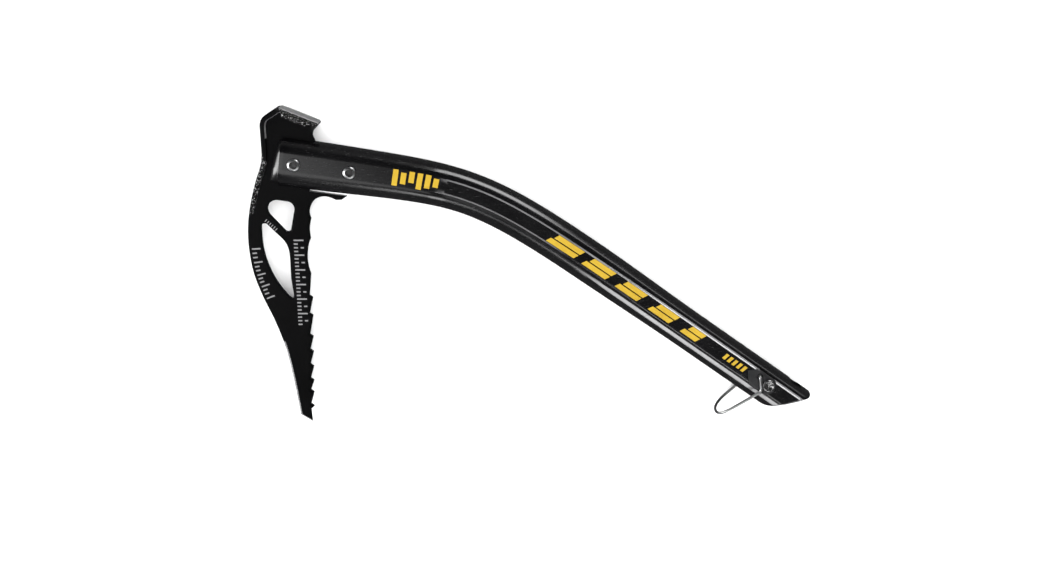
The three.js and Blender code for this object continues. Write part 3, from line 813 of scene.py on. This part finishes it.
def head_outline():
    """The plate's outline with a label for each point: what that edge is."""
    path, labels = [], []

    def go(label, *points):
        for p in points:
            path.append(np.asarray(p, float))
            labels.append(label)

    def bore(d):
        return float(half_width(d)) - WALL - BORE_PLAY

    spine_end, belly_end = SPINE_SLOT - SLOT_PLAY, BELLY_SLOT - SLOT_PLAY
    go("hidden", on_shaft(TANG_END, bore(TANG_END)), on_shaft(spine_end, bore(spine_end)))
    go("waist", *bends((-154.9, 113), ((-157.5, 117.5), (-153.6, 121))))
    go("corner", (-150.3, 124.6))
    go("face", (-151.2, 126), (-178, 136.8))
    go("nose", (-180.4, 136.4), *bends((-190.4, 130), ((-193.3, 127.6), (-193.4, 122))))
    go("rim", *bends((-193.2, 102), ((-193.9, 94), (-197.6, 86))))
    go("back", *spline(BACK)[1:])
    go("tip", (-166.4, -107.2))
    go("teeth", (-167, -97))
    for tip in reversed(TOOTH_TIPS):
        go("teeth", (tooth_root(tip) + TOOTH_DEPTH, tip),
           (tooth_root(tip + TOOTH_STEP), tip + TOOTH_STEP))
    go("edge", *bends((-162.2, 11.2), ((-164.8, 19), (-164.2, 25.5)), ((-163.6, 34), (-161, 38.5)),
                      ((-162.6, 46.2), (-160, 53.8)), ((-162, 58), (-160.2, 62.5)),
                      ((-157, 71.4), (-148.2, 70.7))),
       *bezier((-148.2, 70.7), (-144.5, 70.2), (-140.8, 68), 4))
    go("edge", (-136.8, 68.1), (-132.9, 70.8))
    go("heel", on_shaft(belly_end, -float(half_width(belly_end)) - HEEL_GAP))
    go("hidden", on_shaft(belly_end, -bore(belly_end)), on_shaft(TANG_END, -bore(TANG_END)))
    return np.array(path), labels


def labelled(points, labels, step):
    out, names = [], []
    for i, (a, name) in enumerate(zip(points, labels)):
        b = points[(i + 1) % len(points)]
        count = max(1, int(round(np.linalg.norm(b - a) / step)))
        # A side belongs to the label of the point that it runs to.
        for k in range(count):
            out.append(a + (b - a) * k / count)
            names.append(labels[(i + 1) % len(points)] if k else name)
    return np.array(out), names


def arc(centre, radius, start, end, steps=16):
    turn = np.radians(np.linspace(start, end, steps))
    return np.stack([centre[0] + radius * np.cos(turn), centre[1] + radius * np.sin(turn)], 1)


def upper_window():
    return np.vstack([arc((-184.6, 61), 7, 225, 85), arc((-177.5, 61.3), 5.7, 85, -11),
                      arc((-177.6, 46.6), 2.7, -11, -135)])


def lower_window():
    bow = np.linspace(0, 1, 26)[1:, None]
    a, b, c, d = (np.array(p) for p in ((-179, -6.6), (-187.5, 3), (-197.2, 19), (-197, 42.0)))
    return np.vstack([
        [(-197, 42)], arc((-194.3, 47.8), 2.6, 180, 44), [(-181.5, 38.3)],
        bezier((-181.5, 38.3), (-177.2, 33.6), (-177, 25)), [(-176.9, 8), (-175.5, -5)],
        bezier((-175.5, -5), (-175.5, -9.6), (-179, -6.6)),
        cubic(a, b, c, d, bow)[:-1],
    ])


# For each kind of edge: how far its rim stands up, how wide the rim is, how much of that is
# level before it falls away, and how deep and wide its ground bevel is.
EDGE_FORMS = {
    "hidden": (0, 3, 0, 0, 1),
    "waist": (0, 3, 0, 0.35, 0.8),
    "corner": (HAMMER_HALF - PLATE_HALF, 7.4, 0.1, 0.5, 0.6),
    "face": (HAMMER_HALF - PLATE_HALF, 7.4, 0.1, 0.35, 0.45),
    "nose": (2.6, 4.0, 0.85, 0.35, 0.5),
    "rim": (2.0, 4.0, 0.85, 0.45, 0.6),
    "back": (0, 4.0, 0.5, 0.95, 1.5),
    "tip": (0, 3, 0, 0.9, 1.2),
    "teeth": (0, 3, 0, 0.75, 1.3),
    "edge": (0, 3, 0, 0.35, 0.7),
    "heel": (0, 3, 0, 0.25, 0.4),
    "window": (0, 3, 0, 0.4, 0.75),
}
BEVEL_FROM, BEVEL_BY = -38.0, -50.0    # the back's ground bevel comes in between these
RIM_FADE = (52.0, 88.0)                # the back's rim runs out between these
SCALE_FROM, SCALE_TO = (54, 62), (96, 104)   # the rim's rough scale fades in and out here
RIM_PAINTED_SHINE_FROM = 114.0                # above this the rim's inner edge takes the pale steel finish as a painted highlight line


def build_head():
    outline, names = labelled(*head_outline(), 0.8)
    windows = [even(w, 0.8) for w in (upper_window(), lower_window())]
    drillings = [np.array(ring_loop(SLEEVE + GAP, 0, spot, 36))[:, :2] for spot in SCREW_SPOTS]
    loops = [outline, *windows, *drillings]
    names += ["window"] * sum(map(len, windows)) + ["hidden"] * sum(map(len, drillings))
    edge = np.vstack(loops)
    forms = np.array([EDGE_FORMS[name] for name in names])
    kinds = np.array(names)
    back = kinds == "back"
    y = edge[:, 1]
    forms[back, 0] = 2.0 * smoothstep(y[back], *RIM_FADE)
    ground = 1 - smoothstep(y[back], BEVEL_BY, BEVEL_FROM)
    forms[back, 3] = 0.35 + 0.6 * ground
    forms[back, 4] = 0.6 + 1.0 * ground
    for column in range(forms.shape[1]):
        forms[:len(outline), column] = eased(forms[:len(outline), column], 4)

    scaly = np.isin(kinds, ("face", "corner")) * 1.0
    scaly += (np.isin(kinds, ("rim", "back")) * smoothstep(y, *SCALE_FROM)
              * (1 - smoothstep(y, *SCALE_TO)))
    rough_values = []

    def surface(points, gap, nearest):
        rise, width, level, bevel, bevel_width = forms[nearest].T
        share = np.clip((gap / width - level) / (1 - level), 0, 1)
        fall = (1 - share) ** 2.1
        cut_down = bevel * np.clip(1 - gap / bevel_width, 0, 1)
        half = PLATE_HALF + rise * fall - cut_down
        rough_values.append(scaly[nearest] * np.clip(1.25 - gap / width, 0, 1))
        return half, -half

    verts, faces, wall, flat, gap, nearest = plate_mesh(
        loops, (0.15, 0.45, 0.9, 1.6, 2.4, 3.4, 4.0), 1.5, surface)
    indices = []
    for face, side in zip(faces, wall):
        middle = np.mean([verts[i] for i in face], axis=0)
        near = nearest[[i % len(flat) for i in face]]
        gaps = gap[[i % len(flat) for i in face]]
        kind = kinds[side] if side >= 0 else kinds[near[np.argmin(gaps)]]
        indices.append(int(is_ground_or_shine(kind, side >= 0, middle[1], gaps)))
    head = make("pick_head_forging", verts, faces, [FORGED, GROUND_AND_SHINE], body=None, indices=indices,
                sharp=28)
    store_rough(head, flat, rough_values[0])
    register(head, "axe", ["pick_head"])


def is_ground_or_shine(kind, wall, y, gaps):
    """Whether a face takes the ground steel finish: its edge's kind, whether it is a side wall, its
    level and its corners' distances from the edge.  On the striking face, the tip and the back's bevel
    this is real ground steel; on the heel's wall and the rim's inner edge it is a painted highlight
    line."""
    if wall:
        # The heel's wall gets the pale steel as a painted highlight line; the face and tip walls are
        # ground steel.
        return kind in ("face", "heel", "tip")
    if kind in ("nose", "rim"):
        # Painted highlight: the step at the rim's inner edge takes the pale steel.
        return y > RIM_PAINTED_SHINE_FROM and gaps.min() > 3.3 and gaps.max() < 4.1
    if kind == "back":
        return y < BEVEL_FROM - 4 and gaps.mean() < 1.3
    return gaps.mean() < {"tip": 1.0, "face": 0.42}.get(kind, 0)


def eased(values, reach):
    """A running mean round a closed loop."""
    return sum(np.roll(values, k) for k in range(-reach, reach + 1)) / (2 * reach + 1)


def store_rough(obj, flat, values):
    """The value `rough`, looked up by place because `make` may renumber the vertices."""
    table = {tuple(np.round(p, 3)): v for p, v in zip(flat, values)}
    spots = drawing_points(obj)[:, :2]
    store_value(obj, "rough", [table.get(tuple(np.round(p, 3)), 0.0) for p in spots])


# -------------------- mouth filler
def build_cheek(name, node, side):
    """One half of the filler: inside it fits the bore, and its nose rolls out of the mouth,
    further on the pick's side."""
    low = PLATE_HALF + GAP

    def row(distance, depth_share, width_share):
        w = float(half_width(max(distance, 0))) - WALL - GAP
        top = HALF_DEPTH - WALL - GAP
        start = math.asin(low / top)
        turn = np.linspace(start, math.pi / 2, 14)
        spine_from, belly_from = FLAT_CENTRE + NECK_FLAT_HALF, FLAT_CENTRE - NECK_FLAT_HALF
        o = np.r_[spine_from + (w - spine_from) * np.cos(turn),
                  belly_from - (w + belly_from) * np.cos(turn[::-1])]
        z = np.r_[top * np.sin(turn), top * np.sin(turn[::-1])]
        z = low + (z - low) * depth_share
        return o * width_share, z

    rows = []
    for turn in np.linspace(math.pi / 2, 0, 12)[:-1]:
        o, z = row(0, max(math.cos(turn) ** 0.95, 0.03), 1 - 0.05 * (1 - math.cos(turn)))
        reach = 2.0 + 3.9 * smoothstep(-o, -17, 9)
        along = 0.8 - (0.8 + reach) * math.sin(turn)
        rows.append(np.column_stack([on_shaft(along, o), z * side]))
    for distance in np.arange(0.8, CHEEK_END, 4.0):
        o, z = row(distance, 1, 1)
        rows.append(np.column_stack([on_shaft(distance, o), z * side]))
    verts, faces = loft(rows)
    cheek = make(name, verts, faces, [FILLER], body=None)
    cut(cheek, [pin_cutter(spot, SLEEVE + GAP) for spot in SCREW_SPOTS])
    finish_shading(cheek)
    register(cheek, "axe", [node])


# -------------------- fasteners
SIDES = 48
FACE_DROP = 0.35                       # how far the socket starts below the rim's crest


def turning(profile, at, side=1, count=SIDES):
    """A closed turned solid from (radius, height) pairs that start and end on the axis."""
    verts, faces = [], []
    rings = []
    for radius, height in profile:
        if radius < 1e-6:
            rings.append([len(verts)])
            verts.append((at[0], at[1], side * height))
        else:
            rings.append(list(range(len(verts), len(verts) + count)))
            verts += [tuple(p) for p in ring_loop(radius, side * height, at, count)]
    for a, b in zip(rings, rings[1:]):
        for i in range(count):
            j = (i + 1) % count
            quad = [a[i % len(a)], a[j % len(a)], b[j % len(b)], b[i % len(b)]]
            faces.append(tuple(dict.fromkeys(quad)))
    return verts, faces


def softened(profile, radius):
    """The profile with its corners off the axis cut back by small rounds."""
    out = [profile[0]]
    for before, corner, after in zip(profile, profile[1:], profile[2:]):
        before, corner, after = map(np.array, (before, corner, after))
        a, b = before - corner, after - corner
        reach = min(radius, 0.45 * np.linalg.norm(a), 0.45 * np.linalg.norm(b))
        start = corner + a / np.linalg.norm(a) * reach
        end = corner + b / np.linalg.norm(b) * reach
        out += [tuple(start), *map(tuple, bezier(start, corner, end, 4))]
    return out + [profile[-1]]


def hexagon_cutter(at, top, side):
    turn = np.radians(np.arange(6) * 60 + 12)
    rows = []
    for radius, height in ((SOCKET, top - SOCKET_DEPTH), (SOCKET, top - 0.3),
                           (SOCKET + 0.5, top + 0.2), (SOCKET + 0.5, top + 1)):
        rows.append(np.column_stack([at[0] + radius * np.cos(turn),
                                     at[1] + radius * np.sin(turn),
                                     np.full(6, side * height)]))
    return make_cutter(rows)


def paint_socket_shade(obj, at, top, side):
    """Paints the faces inside the hexagon socket and its countersink dark: painted shade in the
    recess.
    """
    obj.data.materials.append(SOCKET_SHADE)
    for face in obj.data.polygons:
        x, y, z = np.array(face.center) * 1000 - ORIGIN
        radius = math.hypot(x - at[0], y - at[1])
        if radius < SOCKET + 0.75 and top - 2.6 < side * z < top - 0.12:
            face.material_index = 1


def domed_rim(seat, top):
    """The rounded ring of a head, from its outer edge in to the socket's countersink."""
    foot, inner = seat + 0.5, SOCKET + 0.55
    turn = np.linspace(0, math.pi / 2, 8)
    ring = [(inner + (SCREW_HEAD - inner) * math.cos(t), foot + (top - foot) * math.sin(t))
            for t in turn]
    return [*ring, (SOCKET + 0.25, top - FACE_DROP)]


def socketed(name, node, profile, at, top, side):
    """A turned fastener with a hexagon socket in its head."""
    fastener = make(name, *turning(profile, at, side), [TURNED], body=None)
    cut(fastener, [hexagon_cutter(at, top - FACE_DROP, side)])
    paint_socket_shade(fastener, at, top, side)
    finish_shading(fastener, 30)
    register(fastener, "axe", [node])


def build_screw(name, node, at):
    top = SEAT + SCREW_HEAD_HEIGHT
    profile = [
        (0, SHANK_END), (SCREW_SHANK, SHANK_END), (SCREW_SHANK, SEAT), (SCREW_HEAD, SEAT),
        *domed_rim(SEAT, top), (0, top - FACE_DROP),
    ]
    socketed(name, node, profile, at, top, 1)


def build_nut(name, node, at, seat):
    """A sleeve nut on the far side: its heights count away from the middle."""
    bottom = seat + SCREW_HEAD_HEIGHT
    bore = SCREW_SHANK + GAP
    profile = softened([
        (0, bottom - FACE_DROP), *reversed(domed_rim(seat, bottom)), (SCREW_HEAD, seat),
        (SLEEVE, seat), (SLEEVE, -SLEEVE_END), (bore, -SLEEVE_END), (bore, seat - 0.5),
        (0, seat - 0.5),
    ], 0.05)
    socketed(name, node, profile, at, bottom, -1)


RING_PITCH = 0.42                      # between the rings turned in the foot screw's face


def build_foot_screw():
    at, seat = on_foot(FOOT_SCREW), PLATE_SEAT
    face = [(r, seat + 0.75 + 0.8 * (r / 3.5) ** 1.6) for r in np.linspace(3.5, 0, 9)]
    profile = softened([
        (0, SHANK_END), (SCREW_SHANK, SHANK_END), (SCREW_SHANK, seat), (SCREW_HEAD, seat),
        (SCREW_HEAD, seat + 1.15), (SCREW_HEAD - 0.45, seat + 1.65),
        (SCREW_HEAD - 0.95, seat + 1.62),
    ] + face[:1], 0.22)[:-1] + face
    screw = make("foot_screw_dished", *turning(profile, at, 1, 64), [DISHED], body=None)
    radius = np.linalg.norm(drawing_points(screw)[:, :2] - at, axis=1)
    store_value(screw, "turned", radius / RING_PITCH)
    register(screw, "axe", ["foot_screw"])


# -------------------- foot fittings
def build_bail_plate(name, node, side):
    """A moulded plate round the foot screw: a raised land, a bevelled rim, a blunt beak
    towards the head and a scooped seat where the wire goes in."""
    middle, half, end = 1.8, BAIL_PLATE_HALF, FOOT_SCREW[0] - 0.5
    corners = [(end, half), (95.5, half), (92, 5.8), (87.2, 1.4), (95, -half)]
    corners = [on_foot((s, middle + o)) for s, o in corners]
    for turn in np.linspace(-math.pi / 2, math.pi / 2, 30)[:-1]:
        corners.append(on_foot((end + half * math.cos(turn), middle + half * math.sin(turn))))
    outline = even(corners, 0.6)
    screw, pivot = on_foot(FOOT_SCREW), on_foot(BAIL_PIVOT)
    holes = [ring_loop(SLEEVE + GAP, 0, screw, 40)[:, :2],
             ring_loop(WIRE + GAP, 0, pivot, 24)[:, :2]]
    land = SEAT + BAIL_PLATE
    ahead = heading(FOOT_SLOPE)

    def surface(points, gap, nearest):
        outer = nearest < len(outline)
        rim = np.where(outer, np.clip(1 - gap / 1.3, 0, 1) ** 1.3 * 0.9, 0)
        along = (points - pivot) @ ahead
        beak = np.clip((-along - 2.2) / 8, 0, 1) * 1.5
        scoop = np.linalg.norm(points - pivot, axis=1)
        scoop = 1.0 * (1 - smoothstep(scoop, 1.7, 2.9))
        trench = np.abs((points - pivot) @ np.array([0.96, 0.28]))
        below = (points - pivot)[:, 1] < 0
        trench = np.where(below, 0.55 * (1 - smoothstep(trench, 1.2, 2.2)), 0)
        top = land - np.maximum.reduce([rim, beak, scoop, trench])
        bottom = np.full(len(points), SEAT)
        return side * top, side * bottom

    verts, faces, *_ = plate_mesh([outline, *holes], (0.12, 0.35, 0.7, 1.1), 0.7, surface)
    make(name, verts, faces, [PLATE], replaces=[node], slot="moulded_plate", sharp=30)


def bent_wire(corners, radii, steps=10):
    """Points along straight runs joined by round bends."""
    corners = [np.array(c, float) for c in corners]
    path = [corners[0]]
    for before, corner, after, radius in zip(corners, corners[1:], corners[2:], radii):
        into = (corner - before) / np.linalg.norm(corner - before)
        out = (after - corner) / np.linalg.norm(after - corner)
        start, end = corner - into * radius, corner + out * radius
        run = np.linalg.norm(start - path[-1])
        path += [path[-1] + (start - path[-1]) * k / 6 for k in range(1, 6)] if run > 4 else []
        path += [start, *bezier(start, corner, end, steps)]
    run = corners[-1] - path[-1]
    return np.array(path + [path[-1] + run * k / 4 for k in range(1, 5)])


def sweep(path, radius, count=20):
    """A round rod along a path, with domed ends."""
    ahead = np.gradient(path, axis=0)
    ahead /= np.linalg.norm(ahead, axis=1)[:, None]
    side = np.cross(ahead[0], [0.31, 0.87, 0.4])
    rows = []
    for i, (point, forward) in enumerate(zip(path, ahead)):
        side = side - forward * (side @ forward)
        side /= np.linalg.norm(side)
        up = np.cross(forward, side)
        turn = 2 * math.pi * np.arange(count) / count
        ring = np.cos(turn)[:, None] * side + np.sin(turn)[:, None] * up
        if i == 0:
            for t in (1.4, 1.0, 0.5):
                rows.append(point - forward * radius * 0.6 * math.sin(t) + ring * radius * math.cos(t))
        rows.append(point + ring * radius)
        if i == len(path) - 1:
            for t in (0.5, 1.0, 1.4):
                rows.append(point + forward * radius * 0.6 * math.sin(t) + ring * radius * math.cos(t))
    return loft(rows)


WIRE_BENDS = (2, 2.6, 12.3, 12.3, 2.4, 2)   # how far before each corner its bend starts
WIRE_SWELL = 0.1                       # how much thicker the drawn wire is than the CAD's


def build_bail():
    pivot = on_foot(BAIL_PIVOT)
    side = SEAT + BAIL_PLATE + 2 * GAP + WIRE
    inner = HALF_DEPTH - 4
    path = bent_wire([
        (*pivot, inner), (*pivot, side), (*FRONT_KNEE, side), (*LOOP_END, LOOP_HALF),
        (*LOOP_END, -LOOP_HALF), (*REAR_KNEE, -side), (*pivot, -side), (*pivot, -inner),
    ], WIRE_BENDS)
    verts, faces = sweep(path, WIRE + WIRE_SWELL)
    make("wire_bail_drawn", verts, faces, [DRAWN], body="bail", replaces=["wire_bail"],
         slot="stainless", sharp=60)


# -------------------- marks
MARK_RAISE = 0.03


def shaft_patch(corners, side, steps=14):
    """A thin printed patch on the tube's flat: corners are (distance, offset), in order
    along the two long edges."""
    (a0, a1), (b0, b1) = corners
    rows = []
    for t in np.linspace(0, 1, steps):
        low = np.array(a0) + (np.array(a1) - a0) * t
        high = np.array(b0) + (np.array(b1) - b0) * t
        line = low + (high - low) * np.linspace(0, 1, 7)[:, None]
        spots = on_shaft(line[:, 0], line[:, 1])
        height = np.array([surface_height(*p) for p in line])
        far = np.column_stack([spots, side * (height + MARK_RAISE)])
        near = np.column_stack([spots, side * (height - 0.05)])
        rows.append(np.vstack([far, near[::-1]]))
    return loft(rows)


def surface_height(distance, offset):
    offsets, heights = front_section(distance)
    return float(np.interp(offset, offsets[::-1], heights[::-1]))


def bar(start, length, low, high, lean=0.0, side=1):
    """A bar from `start` of the given length between two offsets, leaning by `lean`."""
    return shaft_patch((((start, low), (start + length, low)),
                        ((start + lean, high), (start + length + lean, high))), side)


def gather(parts):
    verts, faces, base = [], [], 0
    for v, f in parts:
        verts.append(np.asarray(v))
        faces += [tuple(i + base for i in face) for face in f]
        base += len(v)
    return np.vstack(verts), faces


NECK_MARKS_FROM, NECK_MARK_STEP, NECK_MARK_WIDTH = 82.5, 5.9, 3.9
NECK_MARKS = ((-3.9, 8.1), (-2.0, 6.5), (-0.1, 8.1), (-3.9, 8.1), (-2.0, 8.1), (-0.1, 6.5))
LONG_BARS = ((204.5, 27.0), (236.0, 24.0), (266.5, 22.5), (297.0, 22.0), (327.0, 17.0))
LONG_BAR_GAP, LONG_BAR_EDGE, LONG_BAR_LEAN = 0.45, 4.3, 2.0
SHORT_BARS_FROM, SHORT_BAR_STEP, SHORT_BAR_WIDTH = 366.0, 4.3, 2.5


def shaft_bars(side):
    """Generic print: a block of upright bars on the neck and a run of long leaning bars
    down the panel, each cut by a thin gap, closed by a few short ones."""
    parts = []
    for i, (low, high) in enumerate(NECK_MARKS):
        parts.append(bar(NECK_MARKS_FROM + NECK_MARK_STEP * i, NECK_MARK_WIDTH, low, high, 0.0,
                         side))
    for start, length in LONG_BARS:
        parts.append(bar(start, length - 2.5, FLAT_CENTRE - LONG_BAR_EDGE,
                         FLAT_CENTRE - LONG_BAR_GAP, LONG_BAR_LEAN, side))
        parts.append(bar(start + 4.2, length - 4.2, FLAT_CENTRE + LONG_BAR_GAP,
                         FLAT_CENTRE + LONG_BAR_EDGE + 0.1, LONG_BAR_LEAN, side))
    for i in range(5):
        parts.append(bar(SHORT_BARS_FROM + SHORT_BAR_STEP * i, SHORT_BAR_WIDTH,
                         FLAT_CENTRE - 2.7, FLAT_CENTRE + 2.2, 1.0, side))
    return parts


def build_marks():
    for name, side in (("print_front", 1), ("print_rear", -1)):
        verts, faces = gather(shaft_bars(side))
        make("shaft_" + name, verts, faces, [PRINT])
    make("pick_etching", *gather(pick_ticks()), [ETCH])


def tick(centre, along, length, width, side):
    """A small flat etched stroke on the plate's side."""
    centre, along = np.array(centre), np.array(along) / np.linalg.norm(along)
    across = np.array([-along[1], along[0]])
    rows = []
    for end in (-0.5, 0.5):
        p = centre + along * length * end - across * width / 2
        q = centre + along * length * end + across * width / 2
        near, far = side * (PLATE_HALF - 0.05), side * (PLATE_HALF + 0.015)
        rows.append(np.array([(*p, near), (*q, near), (*q, far), (*p, far)]))
    return loft(rows)


RULE_MARKS, RULE_TOP, RULE_STEP, RULE_LEFT = 24, 37.5, 2.85, -173.6
FAN_MARKS, FAN_SPAN = 13, (31.0, -8.5)   # the fan runs down between these levels
STRUT_MARKS, STRUT_FROM, STRUT_RUN = 6, np.array([-193.2, 52.6]), np.array([0.73, -0.68])
TICK_WIDTH = 1.1


def pick_ticks():
    """Generic etched scales: a ruled edge beside the teeth, a fan of strokes along the
    pick's back, and a few short strokes on the strut between the windows."""
    parts = []
    for i in range(RULE_MARKS):
        length = 7.4 if i % 4 == 0 else 3.0
        x, y = RULE_LEFT + 0.02 * i, RULE_TOP - RULE_STEP * i
        parts.append(tick((x + length / 2, y), (1, 0), length, TICK_WIDTH, 1))
        if i % 4 == 2:
            parts.append(tick((x + 6.2, y), (1, 0), 2.4, TICK_WIDTH, 1))
    back = spline(BACK, 40)
    low, high = np.searchsorted(-back[:, 1], [-y for y in FAN_SPAN])
    for k, i in enumerate(np.linspace(low, high, FAN_MARKS).astype(int)):
        ahead = back[i + 1] - back[i - 1]
        inward = np.array([-ahead[1], ahead[0]]) / np.linalg.norm(ahead)
        length = 6.4 if k % 3 == 0 else 3.4
        parts.append(tick(back[i] + inward * (2.2 + length / 2), inward, length, TICK_WIDTH, 1))
    for k in range(STRUT_MARKS):
        parts.append(tick(STRUT_FROM + STRUT_RUN * 2.0 * k, (0.68, 0.73), 2.4, 0.6, 1))
    return parts


# -------------------- camera, light, floor
PITCH = math.radians(17)               # the camera leans this far towards the hammer
AIM = np.array([-0.0053, -0.0148])     # what it aims at, from the middle of the box
REACH = 1.0
LENS = 45.4545
FLOOR_RADIUS, DOME_RADIUS = 1.3, 9.0


def build_camera():
    low, high = CAD_BOX
    middle = (low + high) / 2
    aim = Vector((middle.x + AIM[0], middle.y + AIM[1], box_centre("shaft_tube")[2] / 1000))
    data = bpy.data.cameras.new("camera")
    data.lens = LENS
    data.sensor_width = 36.0
    data.clip_start = 0.01
    camera = bpy.data.objects.new("camera", data)
    camera.location = aim + REACH * Vector((0, math.sin(PITCH), math.cos(PITCH)))
    camera.rotation_euler = (-PITCH, 0, 0)
    bpy.context.scene.collection.objects.link(camera)
    bpy.context.scene.camera = camera
    return aim


def softbox(name, aim, azimuth, elevation, distance, size, radiance, glossy):
    """An area light facing the axe.  Azimuth is from +X towards +Y, in degrees."""
    a, e = math.radians(azimuth), math.radians(elevation)
    away = Vector((math.cos(a) * math.cos(e), math.sin(a) * math.cos(e), math.sin(e)))
    data = bpy.data.lights.new(name, "AREA")
    data.shape = "RECTANGLE"
    data.size, data.size_y = size
    data.energy = radiance * math.pi * size[0] * size[1]
    light = bpy.data.objects.new(name, data)
    light.location = aim + away * distance
    light.rotation_euler = away.to_track_quat("Z", "Y").to_euler()
    light.visible_glossy = glossy
    light.visible_diffuse = not glossy
    light.visible_camera = False
    bpy.context.scene.collection.objects.link(light)


# Name, azimuth and elevation in degrees, distance and size in metres, radiance, and whether
# it only makes highlights (True) or only lights the matt surfaces (False).
SOFTBOXES = (
    ("key_left", 128, 58, 2.4, (2.2, 2.2), 2.9, False),
    ("key_right", 38, 62, 2.4, (2.2, 2.2), 2.9, False),
    ("fill_front", -90, 58, 2.4, (2.4, 2.0), 2.9, False),
    ("overhead", 90, 89, 2.0, (3.4, 3.4), 1.7, False),
    ("shoulder_strip", 64, 16, 1.6, (0.80, 0.88), 5.2, True),
    ("edge_strip", 34, 26, 1.6, (0.70, 0.22), 2.4, True),
    ("neck_panel", 214, 62, 1.5, (0.70, 0.62), 1.0, True),
    ("nose_light", 187, 24, 1.3, (0.60, 1.25), 7.0, True),
    ("belly_panel", -81, 44, 1.5, (1.10, 0.36), 4.5, True),
)


def build_light(aim):
    for name, azimuth, elevation, distance, size, radiance, glossy in SOFTBOXES:
        softbox(name, aim, azimuth, elevation, distance, size, radiance, glossy)
    world = bpy.data.worlds.new("studio")
    world.use_nodes = True
    tree = world.node_tree
    background = tree.nodes["Background"]
    place_of = tree.nodes.new("ShaderNodeTexCoord")
    split = tree.nodes.new("ShaderNodeSeparateXYZ")
    tree.links.new(place_of.outputs["Generated"], split.inputs[0])
    ramp = tree.nodes.new("ShaderNodeValToRGB")
    below, zenith = ramp.color_ramp.elements
    below.color, zenith.color = (0.10, 0.10, 0.102, 1), (0.016, 0.016, 0.017, 1)
    zenith.position = 0.62
    horizon = ramp.color_ramp.elements.new(0.16)
    horizon.color = (0.14, 0.14, 0.142, 1)
    tree.links.new(split.outputs["Z"], ramp.inputs["Fac"])
    tree.links.new(ramp.outputs["Color"], background.inputs["Color"])
    background.inputs["Strength"].default_value = 1.0
    bpy.context.scene.world = world
    bpy.context.scene.view_settings.view_transform = "Standard"


def build_floor():
    """A round pale floor, and far round it a pale dome that only the camera sees."""
    low = CAD_BOX[0].z - 0.0002
    disc = ring_loop(FLOOR_RADIUS, low, (0, 0), 96)
    floor = stage_mesh("floor", disc, [tuple(range(96))], floor_material())
    floor.visible_glossy = False
    rows = [ring_loop(DOME_RADIUS * math.cos(t), DOME_RADIUS * math.sin(t), (0, 0), 96)
            for t in np.radians(np.arange(-88, 89, 8))]
    dome = stage_mesh("backdrop", *loft(rows), backdrop_material())
    for ray in ("glossy", "diffuse", "transmission", "shadow"):
        setattr(dome, "visible_" + ray, False)


def stage_mesh(name, verts, faces, material):
    mesh = bpy.data.meshes.new(name)
    mesh.from_pydata([tuple(v) for v in verts], [], faces)
    mesh.materials.append(material)
    stage = bpy.data.objects.new(name, mesh)
    bpy.context.scene.collection.objects.link(stage)
    return stage


# -------------------- the scene
aim_point = build_camera()
build_shaft()
build_head()
build_cheek("mouth_filler_front", "head_cheek_front", 1)
build_cheek("mouth_filler_rear", "head_cheek_rear", -1)
for place_name, spot in zip(("fore", "aft"), SCREW_SPOTS):
    build_screw("socket_screw_" + place_name, "head_screw_" + place_name, spot)
    build_nut("socket_nut_" + place_name, "head_nut_" + place_name, spot, SEAT)
build_bail_plate("bail_seat_front", "bail_plate_front", 1)
build_bail_plate("bail_seat_rear", "bail_plate_rear", -1)
build_foot_screw()
build_nut("foot_sleeve_nut", "foot_nut", on_foot(FOOT_SCREW), PLATE_SEAT)
build_bail()
build_marks()
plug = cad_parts["foot_plug"]
plug.data.materials.clear()
plug.data.materials.append(FILLER)
build_floor()
build_light(aim_point)
